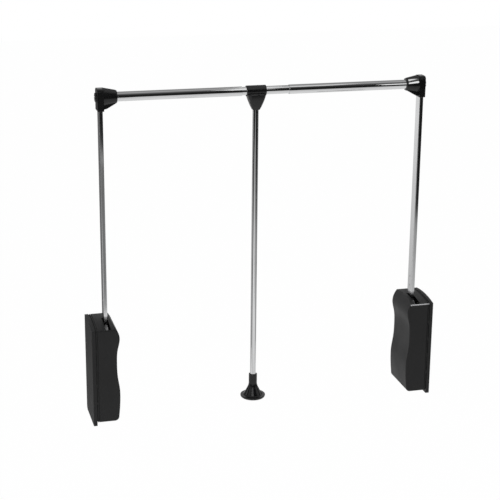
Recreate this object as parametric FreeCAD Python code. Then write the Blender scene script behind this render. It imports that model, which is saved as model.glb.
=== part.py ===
import FreeCAD, Part
import math
import os

V = FreeCAD.Vector

# Wardrobe lift: a hanging bar on two spring-loaded arms that swing forward and down.
# Millimetres. X runs along the bar, Y points into the wardrobe, Z is up.
# The origin is on the bar's axis, midway between the two arms.

# overall layout
HALF_WIDTH = 481.5          # bar centre to the mounting face of either housing
ARM_INSET = 45.0            # mounting face to the centre plane of the arm
HUB_OFFSET = -24.0          # centre of the pull handle's hub along the bar

# hanging bar
BAR_R = 12.5
BAR_WALL = 1.1
INNER_BAR_R = 11.0
INNER_BAR_WALL = 1.2
LEFT_BAR_END = -62.5        # inner end of the left outer tube
RIGHT_BAR_END = 66.0        # inner end of the right outer tube
INNER_BAR_GRIP = 174.5      # length of inner tube held in each outer tube

# lift arms, rectangular tube
ARM_DEPTH = 30.0
ARM_THICK = 10.0
ARM_WALL = 1.2
ARM_FOOT_Z = -590.0
ARM_HEAD_GAP = 1.5          # bar underside to the arm's top end

# housing
FRONT_Y = -60.0
HOUSING_DEPTH = 126.0
RIDGE_Z = -613.0            # front top edge
CROWN_RISE = 8.5            # highest point of the top above the front edge
CROWN_BACK = 75.0           # front face to that highest point
BACK_DROP = 4.0             # highest point down to the back top edge
COVER_HEIGHT = 262.0
COVER_WALL = 2.5
COVER_CORNER = 12.0
COVER_EDGE_R = 3.0
BLOCK_EDGE_R = 2.0
RIDGE_EDGE_R = 4.5          # cover's front top edge
PLATE_THICK = 9.5
PLATE_FLOOR = 3.0
PLATE_RIM = 8.0
PLATE_OVERHANG = 10.0       # the base plate reaches this far below the cover
PLATE_CORNER = 12.0
RIM_GAP = 2.2               # shadow gap between base plate and cover
RIB_WIDTH = 2.0
GROOVE_WIDTH = 2.3
GROOVE_DEEP = 1.5
TAB_PITCH = 50.0
TAB_COUNT = 4
TAB_LENGTH = 9.0
TAB_DEEP = 4.0
TAB_INSET = 0.6             # front or back face to the tabs
SPIGOT_WALL = 2.0
SPIGOT_REACH = 6.0
FIT_GAP = 0.3
SCREW_GAP = 0.1             # round a screw in its clearance hole
HEAD_GAP = 0.2              # round a screw head in its counterbore
OVERCUT = 1.0               # cutters and joined roots run this far past the face they meet
SLOT_WIDTH = 14.5
SLOT_BACK_GAP = 3.5         # arm lever's back edge to the slot's end

# waved inner face of the cover: drop below the front ridge, distance from the mounting face
WAVE_TOP = (-12.0, 55.0)
WAVE_SHOULDER = (0.0, 66.0)
WAVE_UPPER_BULGE = (27.0, 74.6)
WAVE_UPPER_FALL = (58.0, 68.9)
WAVE_WAIST = (95.0, 66.2)
WAVE_LOWER_RISE = (138.0, 68.0)
WAVE_LOWER_SHOULDER = (172.0, 72.8)
WAVE_LOWER_BULGE = (195.0, 73.4)
WAVE_FOOT_DEPTH = 69.5      # distance from the mounting face just above the bottom corner

# wall screw holes
WALL_HOLE_FRONT = 10.0      # front face to the front holes
WALL_HOLE_BACK = 16.0       # back face to the back holes
WALL_HOLE_END = 30.0        # cover's top and bottom edges to the holes
WALL_HOLE_R = 2.6
WALL_BOSS_R = 6.0

# arm pivot and lever
PIVOT_BACK = 24.0           # front face to the pivot axis
PIVOT_DROP = 20.0           # front top edge to the pivot axis
AXLE_R = 4.0
AXLE_HEAD_R = 6.5
AXLE_HEAD = 2.0
RUNNING_GAP = 0.06
PRESS_GAP = 0.05
ARM_EDGE_R = 1.5
BUSH_R = 5.5
LEVER_THICK = 7.0
LEVER_BOSS_R = 11.0
LEVER_TONGUE = 55.0         # length of lever inside the arm tube
LEVER_NECK = 37.0           # vertical part of the lever's back edge under the tube
LEVER_FRONT = 25.0          # the same on its front edge
BOSS_FOOT = (0.36, 0.9)     # where the lever's front edge meets the boss, in boss radii
BOSS_HEAD = (0.5, 0.85)     # the same above the pivot
EYE_SIDE = -71.0            # direction in which the lever's back edge meets the tail eye
TAIL_RADIUS = 18.0          # pivot to the tail pin
TAIL_PIN_R = 3.0
TAIL_EYE_R = 7.0
TAIL_PIN_END = 1.0          # the pin stands this far past the crosshead's cheeks
TAIL_ANGLE = -45.0          # direction of the tail pin at rest, from +Y towards +Z
RIVET_R = 2.0
RIVET_FIRST = 15.0
RIVET_PITCH = 27.0

# mechanism frame
FRAME_GAP = 20.0            # clear width between the two frame plates
FRAME_SHEET = 2.0
FRAME_FRONT = 8.0           # pivot axis to the plates' front edge
FRAME_DEPTH = 82.0
FRAME_TOP_DROP = 3.0        # front top edge to the plates' top edge
FRAME_BOTTOM_RISE = 13.0    # cover's bottom to the plates' bottom edge
FRAME_CORNER = 7.0
FRAME_EDGE = 5.6            # centre of a fastener to the plates' edge
UPPER_FRONT_DROP = 35.0     # pivot axis to the upper front spacer
UPPER_BACK_DROP = 9.0       # pivot axis to the upper back spacer
SPACER_R = 4.0
SCREW_R = 2.0
SCREW_HEAD_R = 3.6
SCREW_HEAD = 2.4
SCREW_BITE = 9.0            # thread length in the moulded post
CROSS_HALF = 0.5            # half width of the screws' cross recess
CROSS_REACH = 2.2           # centre to the end of its arms
POST_R = 5.5

# sliding crosshead, spring and damper
SLOT_PLAY = 0.8
CHEEK_THICK = 3.0
CHEEK_HALF = 8.4
CHEEK_CAP = 3.0
CHEEK_GAP = 1.0
CROSSHEAD_DROP = 14.3       # tail pin at rest to the crosshead's top face
CROSSHEAD_HIGH = 12.0
CROSSHEAD_SIDE_GAP = 2.0
CROSSHEAD_LEVER_GAP = 2.0
CROSSHEAD_BACK = 7.0        # damper axis to the crosshead's back face
SLOT_CORNER = 2.0
SPRING_ROD_R = 3.0
ROD_BITE = 9.0              # length of either rod held in the crosshead
ROD_FOOT_RISE = 20.0        # cover's bottom to the spring rod's lower end
ROD_TAIL = 3.0              # the rod stands this far below its nut
SEAT_DROP = 34.0            # crosshead's top face to the spring seat's top face
SEAT_HIGH = 6.0
SEAT_HOLE_GAP = 0.4
SEAT_MARGIN = 0.4           # the seat stands this far past the crosshead's cheeks
SPRING_R = 7.2              # centreline radius of the coil
SPRING_WIRE_R = 1.25
SPRING_TURNS = 14
WASHER_R = 9.0
WASHER_HIGH = 2.0
NUT_HALF = 5.0
NUT_HIGH = 5.0
DAMPER_BACK = 34.0          # spring axis to the damper axis
DAMPER_R = 7.5
DAMPER_FOOT_RISE = 33.0     # cover's bottom to the cylinder's lower end
DAMPER_EDGE_R = 1.5
DAMPER_NECK_R = 5.0
DAMPER_NECK_HIGH = 4.0      # the neck stands this far above the spring seat
DAMPER_ROD_R = 2.5
DAMPER_STROKE_END = 60.0    # length of damper rod below the seat's top face at rest
DAMPER_BORE_SPARE = 26.0    # bore below the damper rod's lower end

# rubber stop behind the lever
STOP_R = 6.0
STOP_PIN_R = 2.0
STOP_DROP = 34.0            # arm tube's lower end to the stop's axis

# corner connectors between arm and bar
KNUCKLE_WALL = 3.0          # arm to the knuckle's inner face
KNUCKLE_OUTER_WALL = 4.0    # arm to its outer face
KNUCKLE_TOP = 23.0
KNUCKLE_CORNER = 9.0
KNUCKLE_SIDE_WALL = 3.5     # arm's front or back face to the knuckle's
KNUCKLE_EDGE_R = 2.0
SLEEVE_EDGE_R = 1.0
SOCKET_DEPTH = 20.5         # length of arm tube held in the connector
SLEEVE_LENGTH = 35.5
SLEEVE_MOUTH_R = 16.8
SLEEVE_ROOT_HIGH = 24.5     # half height of the sleeve's oval root
SLEEVE_ROOT_DEEP = 18.4     # half depth of the same
GUSSET_HALF = 10.0
GUSSET_TIP_Z = -15.5
GUSSET_BEND_Z = -29.5
GUSSET_ROOT_Z = -32.0
GUSSET_BEND_BACK = 9.0
GUSSET_MOUTH_BACK = 2.0     # sleeve mouth to the web's tip
BAR_STOP_WALL = 3.5
SOCKET_GAP = 0.15
ARM_END_GAP = 0.2           # arm's top end to the socket's end
BAR_END_GAP = 0.5           # outer tube's end to the connector's inner wall
CAP_R = 12.0
CAP_THICK = 3.8
CAP_SLOT = 2.4
CAP_SLOT_DEEP = 2.0
CAP_SPIGOT_R = 6.0
CAP_SPIGOT_END = 0.2        # spigot's end to the connector's inner wall
CAP_EDGE_R = 1.2
SMALL_SCREW_R = 1.7
SMALL_HEAD_R = 3.2
SMALL_HEAD = 2.0
SMALL_HEAD_Y = 16.6
SMALL_SCREW_TIP_Y = 9.0
SMALL_CROSS_HALF = 0.4
SMALL_CROSS_REACH = 2.0
SMALL_CROSS_DEEP = 1.0
ARM_SCREW_Z = -25.0
BAR_SCREW_BACK = 17.0       # sleeve mouth to the bar screw

# pull handle hub
HUB_LENGTH = 53.0
HUB_R = 14.2
HUB_LIP = 2.0
HUB_LIP_GAP = 0.5
HUB_BUSH_R = 12.5
CLIP_WIDTH = 1.2
CLIP_R = 12.2
CLIP_GROOVE = 0.3
CLIP_MOUTH_HALF = 2.0       # half width of the clip's open mouth
SHIELD_HALF = 24.5
SHIELD_TOP_Z = -9.5
SHIELD_DEPTH = 19.0
SHIELD_BULGE = (18.0, -30.0)
SHIELD_SIDE_BULGE = (16.2, -30.0)
SHIELD_BOTTOM_Z = -50.0
SHIELD_LEDGE_Z = -5.0
SHIELD_LEDGE_BITE = 1.0     # the ledge starts this far inside the sleeve
SHIELD_NECK_WALL = 1.4
HUB_SCREW_R = 1.5
HUB_SCREW_HEAD_R = 2.8
HUB_SCREW_SIDE = 14.0
HUB_SCREW_Z = -21.0
HUB_LOWER_SCREW_Z = -37.0
HUB_SCREW_TIP_Y = -8.0
HUB_SCREW_SEAT_Y = 10.0     # seat of the head, in the rear shell
HUB_SCREW_HEAD = 2.0

# handle and knob
HANDLE_R = 8.0
HANDLE_WALL = 1.0
HANDLE_TOP_Z = -16.0
HANDLE_FOOT_Z = -826.0
HANDLE_END_GAP = 0.1        # handle tube's top end to the hub
KNOB_BASE_Z = -868.5
KNOB_TOP_Z = -800.0
KNOB_SOCKET_R = 11.5
KNOB_CONE_Z = -832.5        # foot of the socket, where the cone starts
KNOB_CONE_R = 25.5          # cone's radius where it meets the rim
KNOB_CONE_FILLET = 3.0
KNOB_R = 34.6
KNOB_RIM = 7.5
KNOB_RECESS_R = 24.0
KNOB_RECESS = 4.0
KNOB_TOP_EDGE_R = 1.2
KNOB_FOOT_EDGE_R = 5.0
KNOB_SCREW_HEAD_R = 4.0
KNOB_SCREW_HEAD = 2.0
KNOB_SCREW_R = 2.0
KNOB_SCREW_LENGTH = 48.0
PLUG_LENGTH = 90.0
PLUG_GAP = 0.1
PLUG_HOLE_R = 1.6
PLUG_HOLE_BACK = 4.0        # plug's top end down to the locking hole
PIP_SINK = 0.2              # the plug's pip stays this far inside the tube's face

# derived planes and axes
ARM_X = -(HALF_WIDTH - ARM_INSET)
BACK_Y = FRONT_Y + HOUSING_DEPTH
COVER_BOTTOM_Z = RIDGE_Z - COVER_HEIGHT
CROWN_Z = RIDGE_Z + CROWN_RISE
PIVOT_Y = FRONT_Y + PIVOT_BACK
PIVOT_Z = RIDGE_Z - PIVOT_DROP
RIM_X = PLATE_THICK + RIM_GAP
BODY_X = RIM_X + RIB_WIDTH + GROOVE_WIDTH
LEVER_HALF_DEPTH = ARM_DEPTH / 2 - ARM_WALL - FIT_GAP
TAIL_Y = PIVOT_Y + TAIL_RADIUS * math.cos(math.radians(TAIL_ANGLE))
TAIL_Z = PIVOT_Z + TAIL_RADIUS * math.sin(math.radians(TAIL_ANGLE))
SLOT_REACH = TAIL_RADIUS * (1 - math.cos(math.radians(TAIL_ANGLE))) / 2
SPRING_Y = PIVOT_Y + TAIL_RADIUS - SLOT_REACH
DAMPER_Y = SPRING_Y + DAMPER_BACK
CROSSHEAD_TOP_Z = TAIL_Z - CROSSHEAD_DROP
SEAT_TOP_Z = CROSSHEAD_TOP_Z - SEAT_DROP
SEAT_BOTTOM_Z = SEAT_TOP_Z - SEAT_HIGH
ROD_FOOT_Z = COVER_BOTTOM_Z + ROD_FOOT_RISE
NUT_FOOT_Z = ROD_FOOT_Z + ROD_TAIL
WASHER_FOOT_Z = NUT_FOOT_Z + NUT_HIGH
WASHER_TOP_Z = WASHER_FOOT_Z + WASHER_HIGH
SPRING_RISE = SEAT_BOTTOM_Z - WASHER_TOP_Z - 2 * SPRING_WIRE_R - 2 * FIT_GAP
DAMPER_FOOT_Z = COVER_BOTTOM_Z + DAMPER_FOOT_RISE
FRAME_FRONT_Y = PIVOT_Y - FRAME_FRONT
FRAME_BACK_Y = FRAME_FRONT_Y + FRAME_DEPTH
FRAME_TOP_Z = RIDGE_Z - FRAME_TOP_DROP
FRAME_BOTTOM_Z = COVER_BOTTOM_Z + FRAME_BOTTOM_RISE
FRAME_IN = ARM_INSET + FRAME_GAP / 2
FRAME_OUT = ARM_INSET - FRAME_GAP / 2
STOP_Y = LEVER_HALF_DEPTH + FIT_GAP + STOP_R
STOP_Z = ARM_FOOT_Z - STOP_DROP
ARM_TOP_Z = -(BAR_R + ARM_HEAD_GAP)
KNUCKLE_DEPTH = ARM_DEPTH / 2 + KNUCKLE_SIDE_WALL
KNUCKLE_BOTTOM_Z = ARM_TOP_Z - SOCKET_DEPTH
KNUCKLE_OUT_X = ARM_X - ARM_THICK / 2 - KNUCKLE_OUTER_WALL
KNUCKLE_IN_X = ARM_X + ARM_THICK / 2 + KNUCKLE_WALL
SLEEVE_MOUTH_X = KNUCKLE_IN_X + SLEEVE_LENGTH
BAR_STOP_X = KNUCKLE_OUT_X + BAR_STOP_WALL
HUB_LEFT_X = HUB_OFFSET - HUB_LENGTH / 2
HUB_RIGHT_X = HUB_OFFSET + HUB_LENGTH / 2


def inward(distance):
    """X of a plane this far inward from the left mounting face."""
    return -HALF_WIDTH + distance


def box(x0, x1, y0, y1, z0, z1):
    return Part.makeBox(x1 - x0, y1 - y0, z1 - z0, V(x0, y0, z0))


def rod_x(radius, x0, x1, y, z):
    return Part.makeCylinder(radius, x1 - x0, V(x0, y, z), V(1, 0, 0))


def rod_y(radius, y0, y1, x, z):
    return Part.makeCylinder(radius, y1 - y0, V(x, y0, z), V(0, 1, 0))


def rod_z(radius, z0, z1, x, y):
    return Part.makeCylinder(radius, z1 - z0, V(x, y, z0), V(0, 0, 1))


def prism(edges, direction):
    return Part.Face(Part.Wire(edges)).extrude(direction)


def polygon(points, direction):
    return Part.Face(Part.makePolygon(points + points[:1])).extrude(direction)


def fuse(first, *others):
    return first.multiFuse(list(others)).removeSplitter()


def line(a, b):
    return Part.LineSegment(a, b).toShape()


def arc(a, b, c):
    return Part.Arc(a, b, c).toShape()


def edges_along(shape, axis):
    """Straight edges of a shape that run along one axis."""
    found = []
    for edge in shape.Edges:
        if isinstance(edge.Curve, Part.Line) and abs(edge.Curve.Direction.dot(axis)) > 0.999:
            found.append(edge)
    return found


def mirrored(shape):
    """The same piece for the right-hand side."""
    return shape.mirror(V(0, 0, 0), V(1, 0, 0))


# ---- housing ----

def housing_block(x0, x1, inset, bottom_z):
    """Side outline of the housing with its crowned top, as a slab between two X planes."""
    front = V(x0, FRONT_Y + inset, RIDGE_Z - inset)
    crown = V(x0, FRONT_Y + CROWN_BACK, CROWN_Z - inset)
    back = V(x0, BACK_Y - inset, CROWN_Z - BACK_DROP - inset)
    back_foot = V(x0, BACK_Y - inset, bottom_z)
    front_foot = V(x0, FRONT_Y + inset, bottom_z)
    outline = [arc(front, crown, back), line(back, back_foot), line(back_foot, front_foot),
               line(front_foot, front)]
    return prism(outline, V(x1 - x0, 0, 0))


def wave_block(inset):
    """Cover volume bounded by the waved inner face, before its crowned top is trimmed."""
    foot = (COVER_HEIGHT - COVER_CORNER, WAVE_FOOT_DEPTH)
    wave = [WAVE_TOP, WAVE_SHOULDER, WAVE_UPPER_BULGE, WAVE_UPPER_FALL, WAVE_WAIST,
            WAVE_LOWER_RISE, WAVE_LOWER_SHOULDER, WAVE_LOWER_BULGE, foot]
    y = FRONT_Y + inset
    points = [V(inward(depth - inset), y, RIDGE_Z - drop) for drop, depth in wave]
    curve = Part.BSplineCurve()
    curve.interpolate(points)
    radius = COVER_CORNER - inset
    start = points[-1]
    middle = V(start.x - radius * (1 - math.sqrt(0.5)), y, start.z - radius * math.sqrt(0.5))
    end = V(start.x - radius, y, start.z - radius)
    top_rim = V(inward(RIM_X), y, points[0].z)
    foot_rim = V(inward(RIM_X), y, end.z)
    outline = [curve.toShape(), arc(start, middle, end), line(end, foot_rim),
               line(foot_rim, top_rim), line(top_rim, points[0])]
    return prism(outline, V(0, HOUSING_DEPTH - 2 * inset, 0))


def housing_cover():
    """Moulded shell: waved face, rib and groove near the rim, slot for the arm lever in the top."""
    block = wave_block(0)
    curved = [e for e in block.Edges
              if e.BoundBox.YLength < 0.01 and not isinstance(e.Curve, Part.Line)]
    block = block.makeFillet(COVER_EDGE_R, curved)
    reach = inward(ARM_INSET + HALF_WIDTH)
    trim = housing_block(inward(RIM_X), reach, 0, COVER_BOTTOM_Z)
    ridge = [e for e in edges_along(trim, V(1, 0, 0)) if e.Vertexes[0].Y < PIVOT_Y and e.Vertexes[0].Z > PIVOT_Z]
    trim = trim.makeFillet(RIDGE_EDGE_R, ridge)
    others = [e for e in edges_along(trim, V(1, 0, 0))
              if e.Vertexes[0].Y > PIVOT_Y or e.Vertexes[0].Z < PIVOT_Z]
    trim = trim.makeFillet(BLOCK_EDGE_R, others)
    shell = block.common(trim)
    hollow_trim = housing_block(inward(0), reach, COVER_WALL, COVER_BOTTOM_Z + COVER_WALL)
    shell = shell.cut(wave_block(COVER_WALL).common(hollow_trim))
    groove_x0 = inward(RIM_X + RIB_WIDTH)
    groove_x1 = inward(BODY_X)
    ring = housing_block(groove_x0, groove_x1, -OVERCUT, COVER_BOTTOM_Z - OVERCUT)
    ring = ring.cut(housing_block(groove_x0, groove_x1, GROOVE_DEEP, COVER_BOTTOM_Z + GROOVE_DEEP))
    shell = shell.cut(ring)
    slot = box(inward(ARM_INSET - SLOT_WIDTH / 2), inward(ARM_INSET + SLOT_WIDTH / 2),
               FRONT_Y + COVER_WALL, LEVER_HALF_DEPTH + SLOT_BACK_GAP,
               RIDGE_Z - COVER_WALL - OVERCUT, CROWN_Z + OVERCUT)
    return shell.cut(slot)


def post_centres():
    """The four places where spacers, posts and screws carry the mechanism frame."""
    front = FRAME_FRONT_Y + FRAME_EDGE
    back = FRAME_BACK_Y - FRAME_EDGE
    low = FRAME_BOTTOM_Z + FRAME_EDGE
    return [(front, PIVOT_Z - UPPER_FRONT_DROP), (back, PIVOT_Z - UPPER_BACK_DROP),
            (front, low), (back, low)]


def wall_hole_centres():
    return [(y, z) for y in (FRONT_Y + WALL_HOLE_FRONT, BACK_Y - WALL_HOLE_BACK)
            for z in (COVER_BOTTOM_Z + WALL_HOLE_END, RIDGE_Z - WALL_HOLE_END)]


def base_plate():
    """Moulded base: flat mounting face, hollowed inner side, spigot for the cover, four posts."""
    plate_bottom = COVER_BOTTOM_Z - PLATE_OVERHANG
    plate = housing_block(inward(0), inward(PLATE_THICK), 0, plate_bottom)
    low_back = [e for e in edges_along(plate, V(1, 0, 0))
                if e.Vertexes[0].Y > 0 and e.Vertexes[0].Z < PIVOT_Z]
    plate = plate.makeFillet(PLATE_CORNER, low_back)
    others = [e for e in edges_along(plate, V(1, 0, 0)) if e.Vertexes[0].Y < PIVOT_Y]
    plate = plate.makeFillet(BLOCK_EDGE_R, others)
    pocket = housing_block(inward(PLATE_FLOOR), inward(PLATE_THICK), PLATE_RIM,
                           COVER_BOTTOM_Z + PLATE_RIM)
    plate = plate.cut(pocket)
    seat = COVER_WALL + FIT_GAP
    spigot_x1 = inward(RIM_X + SPIGOT_REACH)
    spigot = housing_block(inward(PLATE_THICK), spigot_x1, seat, COVER_BOTTOM_Z + seat)
    inner = seat + SPIGOT_WALL
    spigot = spigot.cut(housing_block(inward(PLATE_THICK), spigot_x1, inner,
                                      COVER_BOTTOM_Z + inner))
    pieces = [spigot]
    middle_z = (RIDGE_Z + COVER_BOTTOM_Z) / 2
    for i in range(TAB_COUNT):
        z = middle_z + (i - (TAB_COUNT - 1) / 2) * TAB_PITCH
        for y0 in (FRONT_Y + TAB_INSET, BACK_Y - TAB_INSET - TAB_DEEP):
            pieces.append(box(inward(PLATE_THICK), inward(RIM_X), y0, y0 + TAB_DEEP,
                              z - TAB_LENGTH / 2, z + TAB_LENGTH / 2))
    for y, z in post_centres():
        pieces.append(rod_x(POST_R, inward(PLATE_FLOOR), inward(FRAME_OUT - FRAME_SHEET), y, z))
    for y, z in wall_hole_centres():
        pieces.append(rod_x(WALL_BOSS_R, inward(PLATE_FLOOR), inward(PLATE_THICK), y, z))
    plate = fuse(plate, *pieces)
    for y, z in wall_hole_centres():
        plate = plate.cut(rod_x(WALL_HOLE_R, inward(-OVERCUT), inward(PLATE_THICK + OVERCUT), y, z))
    pilot = inward(FRAME_OUT - FRAME_SHEET)
    for y, z in post_centres():
        plate = plate.cut(rod_x(SCREW_R + PRESS_GAP, pilot - SCREW_BITE - OVERCUT, pilot + OVERCUT, y, z))
    return plate


# ---- mechanism frame ----

def frame_plate(x0):
    """Pressed steel plate with holes for axle, screws, stop pin and spring seat tabs."""
    plate = box(x0, x0 + FRAME_SHEET, FRAME_FRONT_Y, FRAME_BACK_Y, FRAME_BOTTOM_Z, FRAME_TOP_Z)
    plate = plate.makeFillet(FRAME_CORNER, edges_along(plate, V(1, 0, 0)))
    x1 = x0 + FRAME_SHEET
    plate = plate.cut(rod_x(AXLE_R + PRESS_GAP, x0 - OVERCUT, x1 + OVERCUT, PIVOT_Y, PIVOT_Z))
    plate = plate.cut(rod_x(STOP_PIN_R + PRESS_GAP, x0 - OVERCUT, x1 + OVERCUT, STOP_Y, STOP_Z))
    for y, z in post_centres():
        plate = plate.cut(rod_x(SCREW_R + SCREW_GAP, x0 - OVERCUT, x1 + OVERCUT, y, z))
    for y in seat_tab_centres():
        plate = plate.cut(box(x0 - OVERCUT, x1 + OVERCUT, y - SEAT_HIGH / 2 - PRESS_GAP,
                              y + SEAT_HIGH / 2 + PRESS_GAP,
                              SEAT_BOTTOM_Z - PRESS_GAP, SEAT_TOP_Z + PRESS_GAP))
    return plate


def seat_tab_centres():
    return (SPRING_Y, DAMPER_Y)


def frame_spacers():
    spacers = []
    for y, z in post_centres():
        sleeve = rod_x(SPACER_R, inward(FRAME_OUT), inward(FRAME_IN), y, z)
        spacers.append(sleeve.cut(rod_x(SCREW_R + SCREW_GAP, inward(FRAME_OUT), inward(FRAME_IN), y, z)))
    return Part.makeCompound(spacers)


def frame_screws():
    """Long screws through both plates and the spacers into the base plate's posts."""
    seat = inward(FRAME_IN + FRAME_SHEET)
    tip = inward(FRAME_OUT - FRAME_SHEET) - SCREW_BITE
    screws = []
    for y, z in post_centres():
        shank = rod_x(SCREW_R, tip, seat, y, z)
        head = rod_x(SCREW_HEAD_R, seat, seat + SCREW_HEAD, y, z)
        screw = fuse(shank, head)
        for half_y, half_z in ((CROSS_HALF, CROSS_REACH), (CROSS_REACH, CROSS_HALF)):
            screw = screw.cut(box(seat + SCREW_HEAD / 2, seat + SCREW_HEAD + OVERCUT,
                                  y - half_y, y + half_y, z - half_z, z + half_z))
        screws.append(screw)
    return Part.makeCompound(screws)


def pivot_axle():
    outer = inward(FRAME_OUT - FRAME_SHEET)
    inner = inward(FRAME_IN + FRAME_SHEET)
    shank = rod_x(AXLE_R, outer, inner, PIVOT_Y, PIVOT_Z)
    heads = [rod_x(AXLE_HEAD_R, outer - AXLE_HEAD, outer, PIVOT_Y, PIVOT_Z),
             rod_x(AXLE_HEAD_R, inner, inner + AXLE_HEAD, PIVOT_Y, PIVOT_Z)]
    return fuse(shank, *heads)


def stop_buffer():
    x0 = inward(FRAME_OUT + FIT_GAP)
    x1 = inward(FRAME_IN - FIT_GAP)
    tyre = rod_x(STOP_R, x0, x1, STOP_Y, STOP_Z)
    return tyre.cut(rod_x(STOP_PIN_R + PRESS_GAP, x0, x1, STOP_Y, STOP_Z))


def stop_pin():
    return rod_x(STOP_PIN_R, inward(FRAME_OUT - FRAME_SHEET), inward(FRAME_IN + FRAME_SHEET),
                 STOP_Y, STOP_Z)


def spring_seat():
    """Bridge between the frame plates: the spring pushes against it, the damper hangs from it."""
    half = CHEEK_HALF + SEAT_MARGIN
    seat = box(inward(FRAME_OUT), inward(FRAME_IN), SPRING_Y - half, DAMPER_Y + half,
               SEAT_BOTTOM_Z, SEAT_TOP_Z)
    tabs = []
    for y in seat_tab_centres():
        tabs.append(box(inward(FRAME_OUT - FRAME_SHEET), inward(FRAME_IN + FRAME_SHEET),
                        y - SEAT_HIGH / 2, y + SEAT_HIGH / 2, SEAT_BOTTOM_Z, SEAT_TOP_Z))
    seat = fuse(seat, *tabs)
    rod_hole = rod_z(SPRING_ROD_R + SEAT_HOLE_GAP, SEAT_BOTTOM_Z - OVERCUT, SEAT_TOP_Z + OVERCUT,
                     ARM_X, SPRING_Y)
    neck_hole = rod_z(DAMPER_NECK_R + PRESS_GAP, SEAT_BOTTOM_Z - OVERCUT, SEAT_TOP_Z + OVERCUT,
                      ARM_X, DAMPER_Y)
    return seat.cut(rod_hole).cut(neck_hole)


# ---- arm and lever ----

def pivot_bush():
    x0 = inward(FRAME_OUT + FIT_GAP)
    x1 = inward(FRAME_IN - FIT_GAP)
    bush = rod_x(BUSH_R, x0, x1, PIVOT_Y, PIVOT_Z)
    return bush.cut(rod_x(AXLE_R + RUNNING_GAP, x0, x1, PIVOT_Y, PIVOT_Z))


def arm_lever():
    """Cranked steel lever: tongue in the arm tube, boss on the axle, eye for the tail pin."""
    x0 = ARM_X - LEVER_THICK / 2
    x1 = ARM_X + LEVER_THICK / 2
    half = LEVER_HALF_DEPTH
    eye_side = math.radians(EYE_SIDE)
    outline = [V(x0, -half, ARM_FOOT_Z + LEVER_TONGUE),
               V(x0, half, ARM_FOOT_Z + LEVER_TONGUE),
               V(x0, half, ARM_FOOT_Z - LEVER_NECK),
               V(x0, TAIL_Y + TAIL_EYE_R * math.cos(eye_side),
                 TAIL_Z + TAIL_EYE_R * math.sin(eye_side)),
               V(x0, PIVOT_Y - LEVER_BOSS_R * BOSS_FOOT[0], PIVOT_Z - LEVER_BOSS_R * BOSS_FOOT[1]),
               V(x0, PIVOT_Y - LEVER_BOSS_R * BOSS_HEAD[0], PIVOT_Z + LEVER_BOSS_R * BOSS_HEAD[1]),
               V(x0, -half, ARM_FOOT_Z - LEVER_FRONT)]
    blade = polygon(outline, V(LEVER_THICK, 0, 0))
    boss = rod_x(LEVER_BOSS_R, x0, x1, PIVOT_Y, PIVOT_Z)
    eye = rod_x(TAIL_EYE_R, x0, x1, TAIL_Y, TAIL_Z)
    lever = fuse(blade, boss, eye)
    lever = lever.cut(rod_x(BUSH_R + PRESS_GAP, x0 - OVERCUT, x1 + OVERCUT, PIVOT_Y, PIVOT_Z))
    lever = lever.cut(rod_x(TAIL_PIN_R + PRESS_GAP, x0 - OVERCUT, x1 + OVERCUT, TAIL_Y, TAIL_Z))
    for z in rivet_heights():
        lever = lever.cut(rod_x(RIVET_R + PRESS_GAP, x0 - OVERCUT, x1 + OVERCUT, 0, z))
    return lever


def rivet_heights():
    return [ARM_FOOT_Z + RIVET_FIRST + i * RIVET_PITCH for i in range(2)]


def arm_rivets():
    return Part.makeCompound([rod_x(RIVET_R, ARM_X - ARM_THICK / 2, ARM_X + ARM_THICK / 2, 0, z)
                              for z in rivet_heights()])


def lift_arm():
    """Rectangular tube with rounded edges, open at both ends."""
    half_x = ARM_THICK / 2
    half_y = ARM_DEPTH / 2
    outer = box(ARM_X - half_x, ARM_X + half_x, -half_y, half_y, ARM_FOOT_Z, ARM_TOP_Z)
    outer = outer.makeFillet(ARM_EDGE_R, edges_along(outer, V(0, 0, 1)))
    bore = box(ARM_X - half_x + ARM_WALL, ARM_X + half_x - ARM_WALL,
               -half_y + ARM_WALL, half_y - ARM_WALL, ARM_FOOT_Z - OVERCUT, ARM_TOP_Z + OVERCUT)
    arm = outer.cut(bore)
    for z in rivet_heights():
        arm = arm.cut(rod_x(RIVET_R + PRESS_GAP, ARM_X - half_x - OVERCUT, ARM_X + half_x + OVERCUT, 0, z))
    return arm.cut(rod_y(SMALL_SCREW_R + SCREW_GAP, 0, half_y + OVERCUT, ARM_X, ARM_SCREW_Z))


def tail_pin():
    reach = LEVER_THICK / 2 + CHEEK_GAP + CHEEK_THICK + TAIL_PIN_END
    return rod_x(TAIL_PIN_R, ARM_X - reach, ARM_X + reach, TAIL_Y, TAIL_Z)


# ---- crosshead, spring and damper ----

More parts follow.
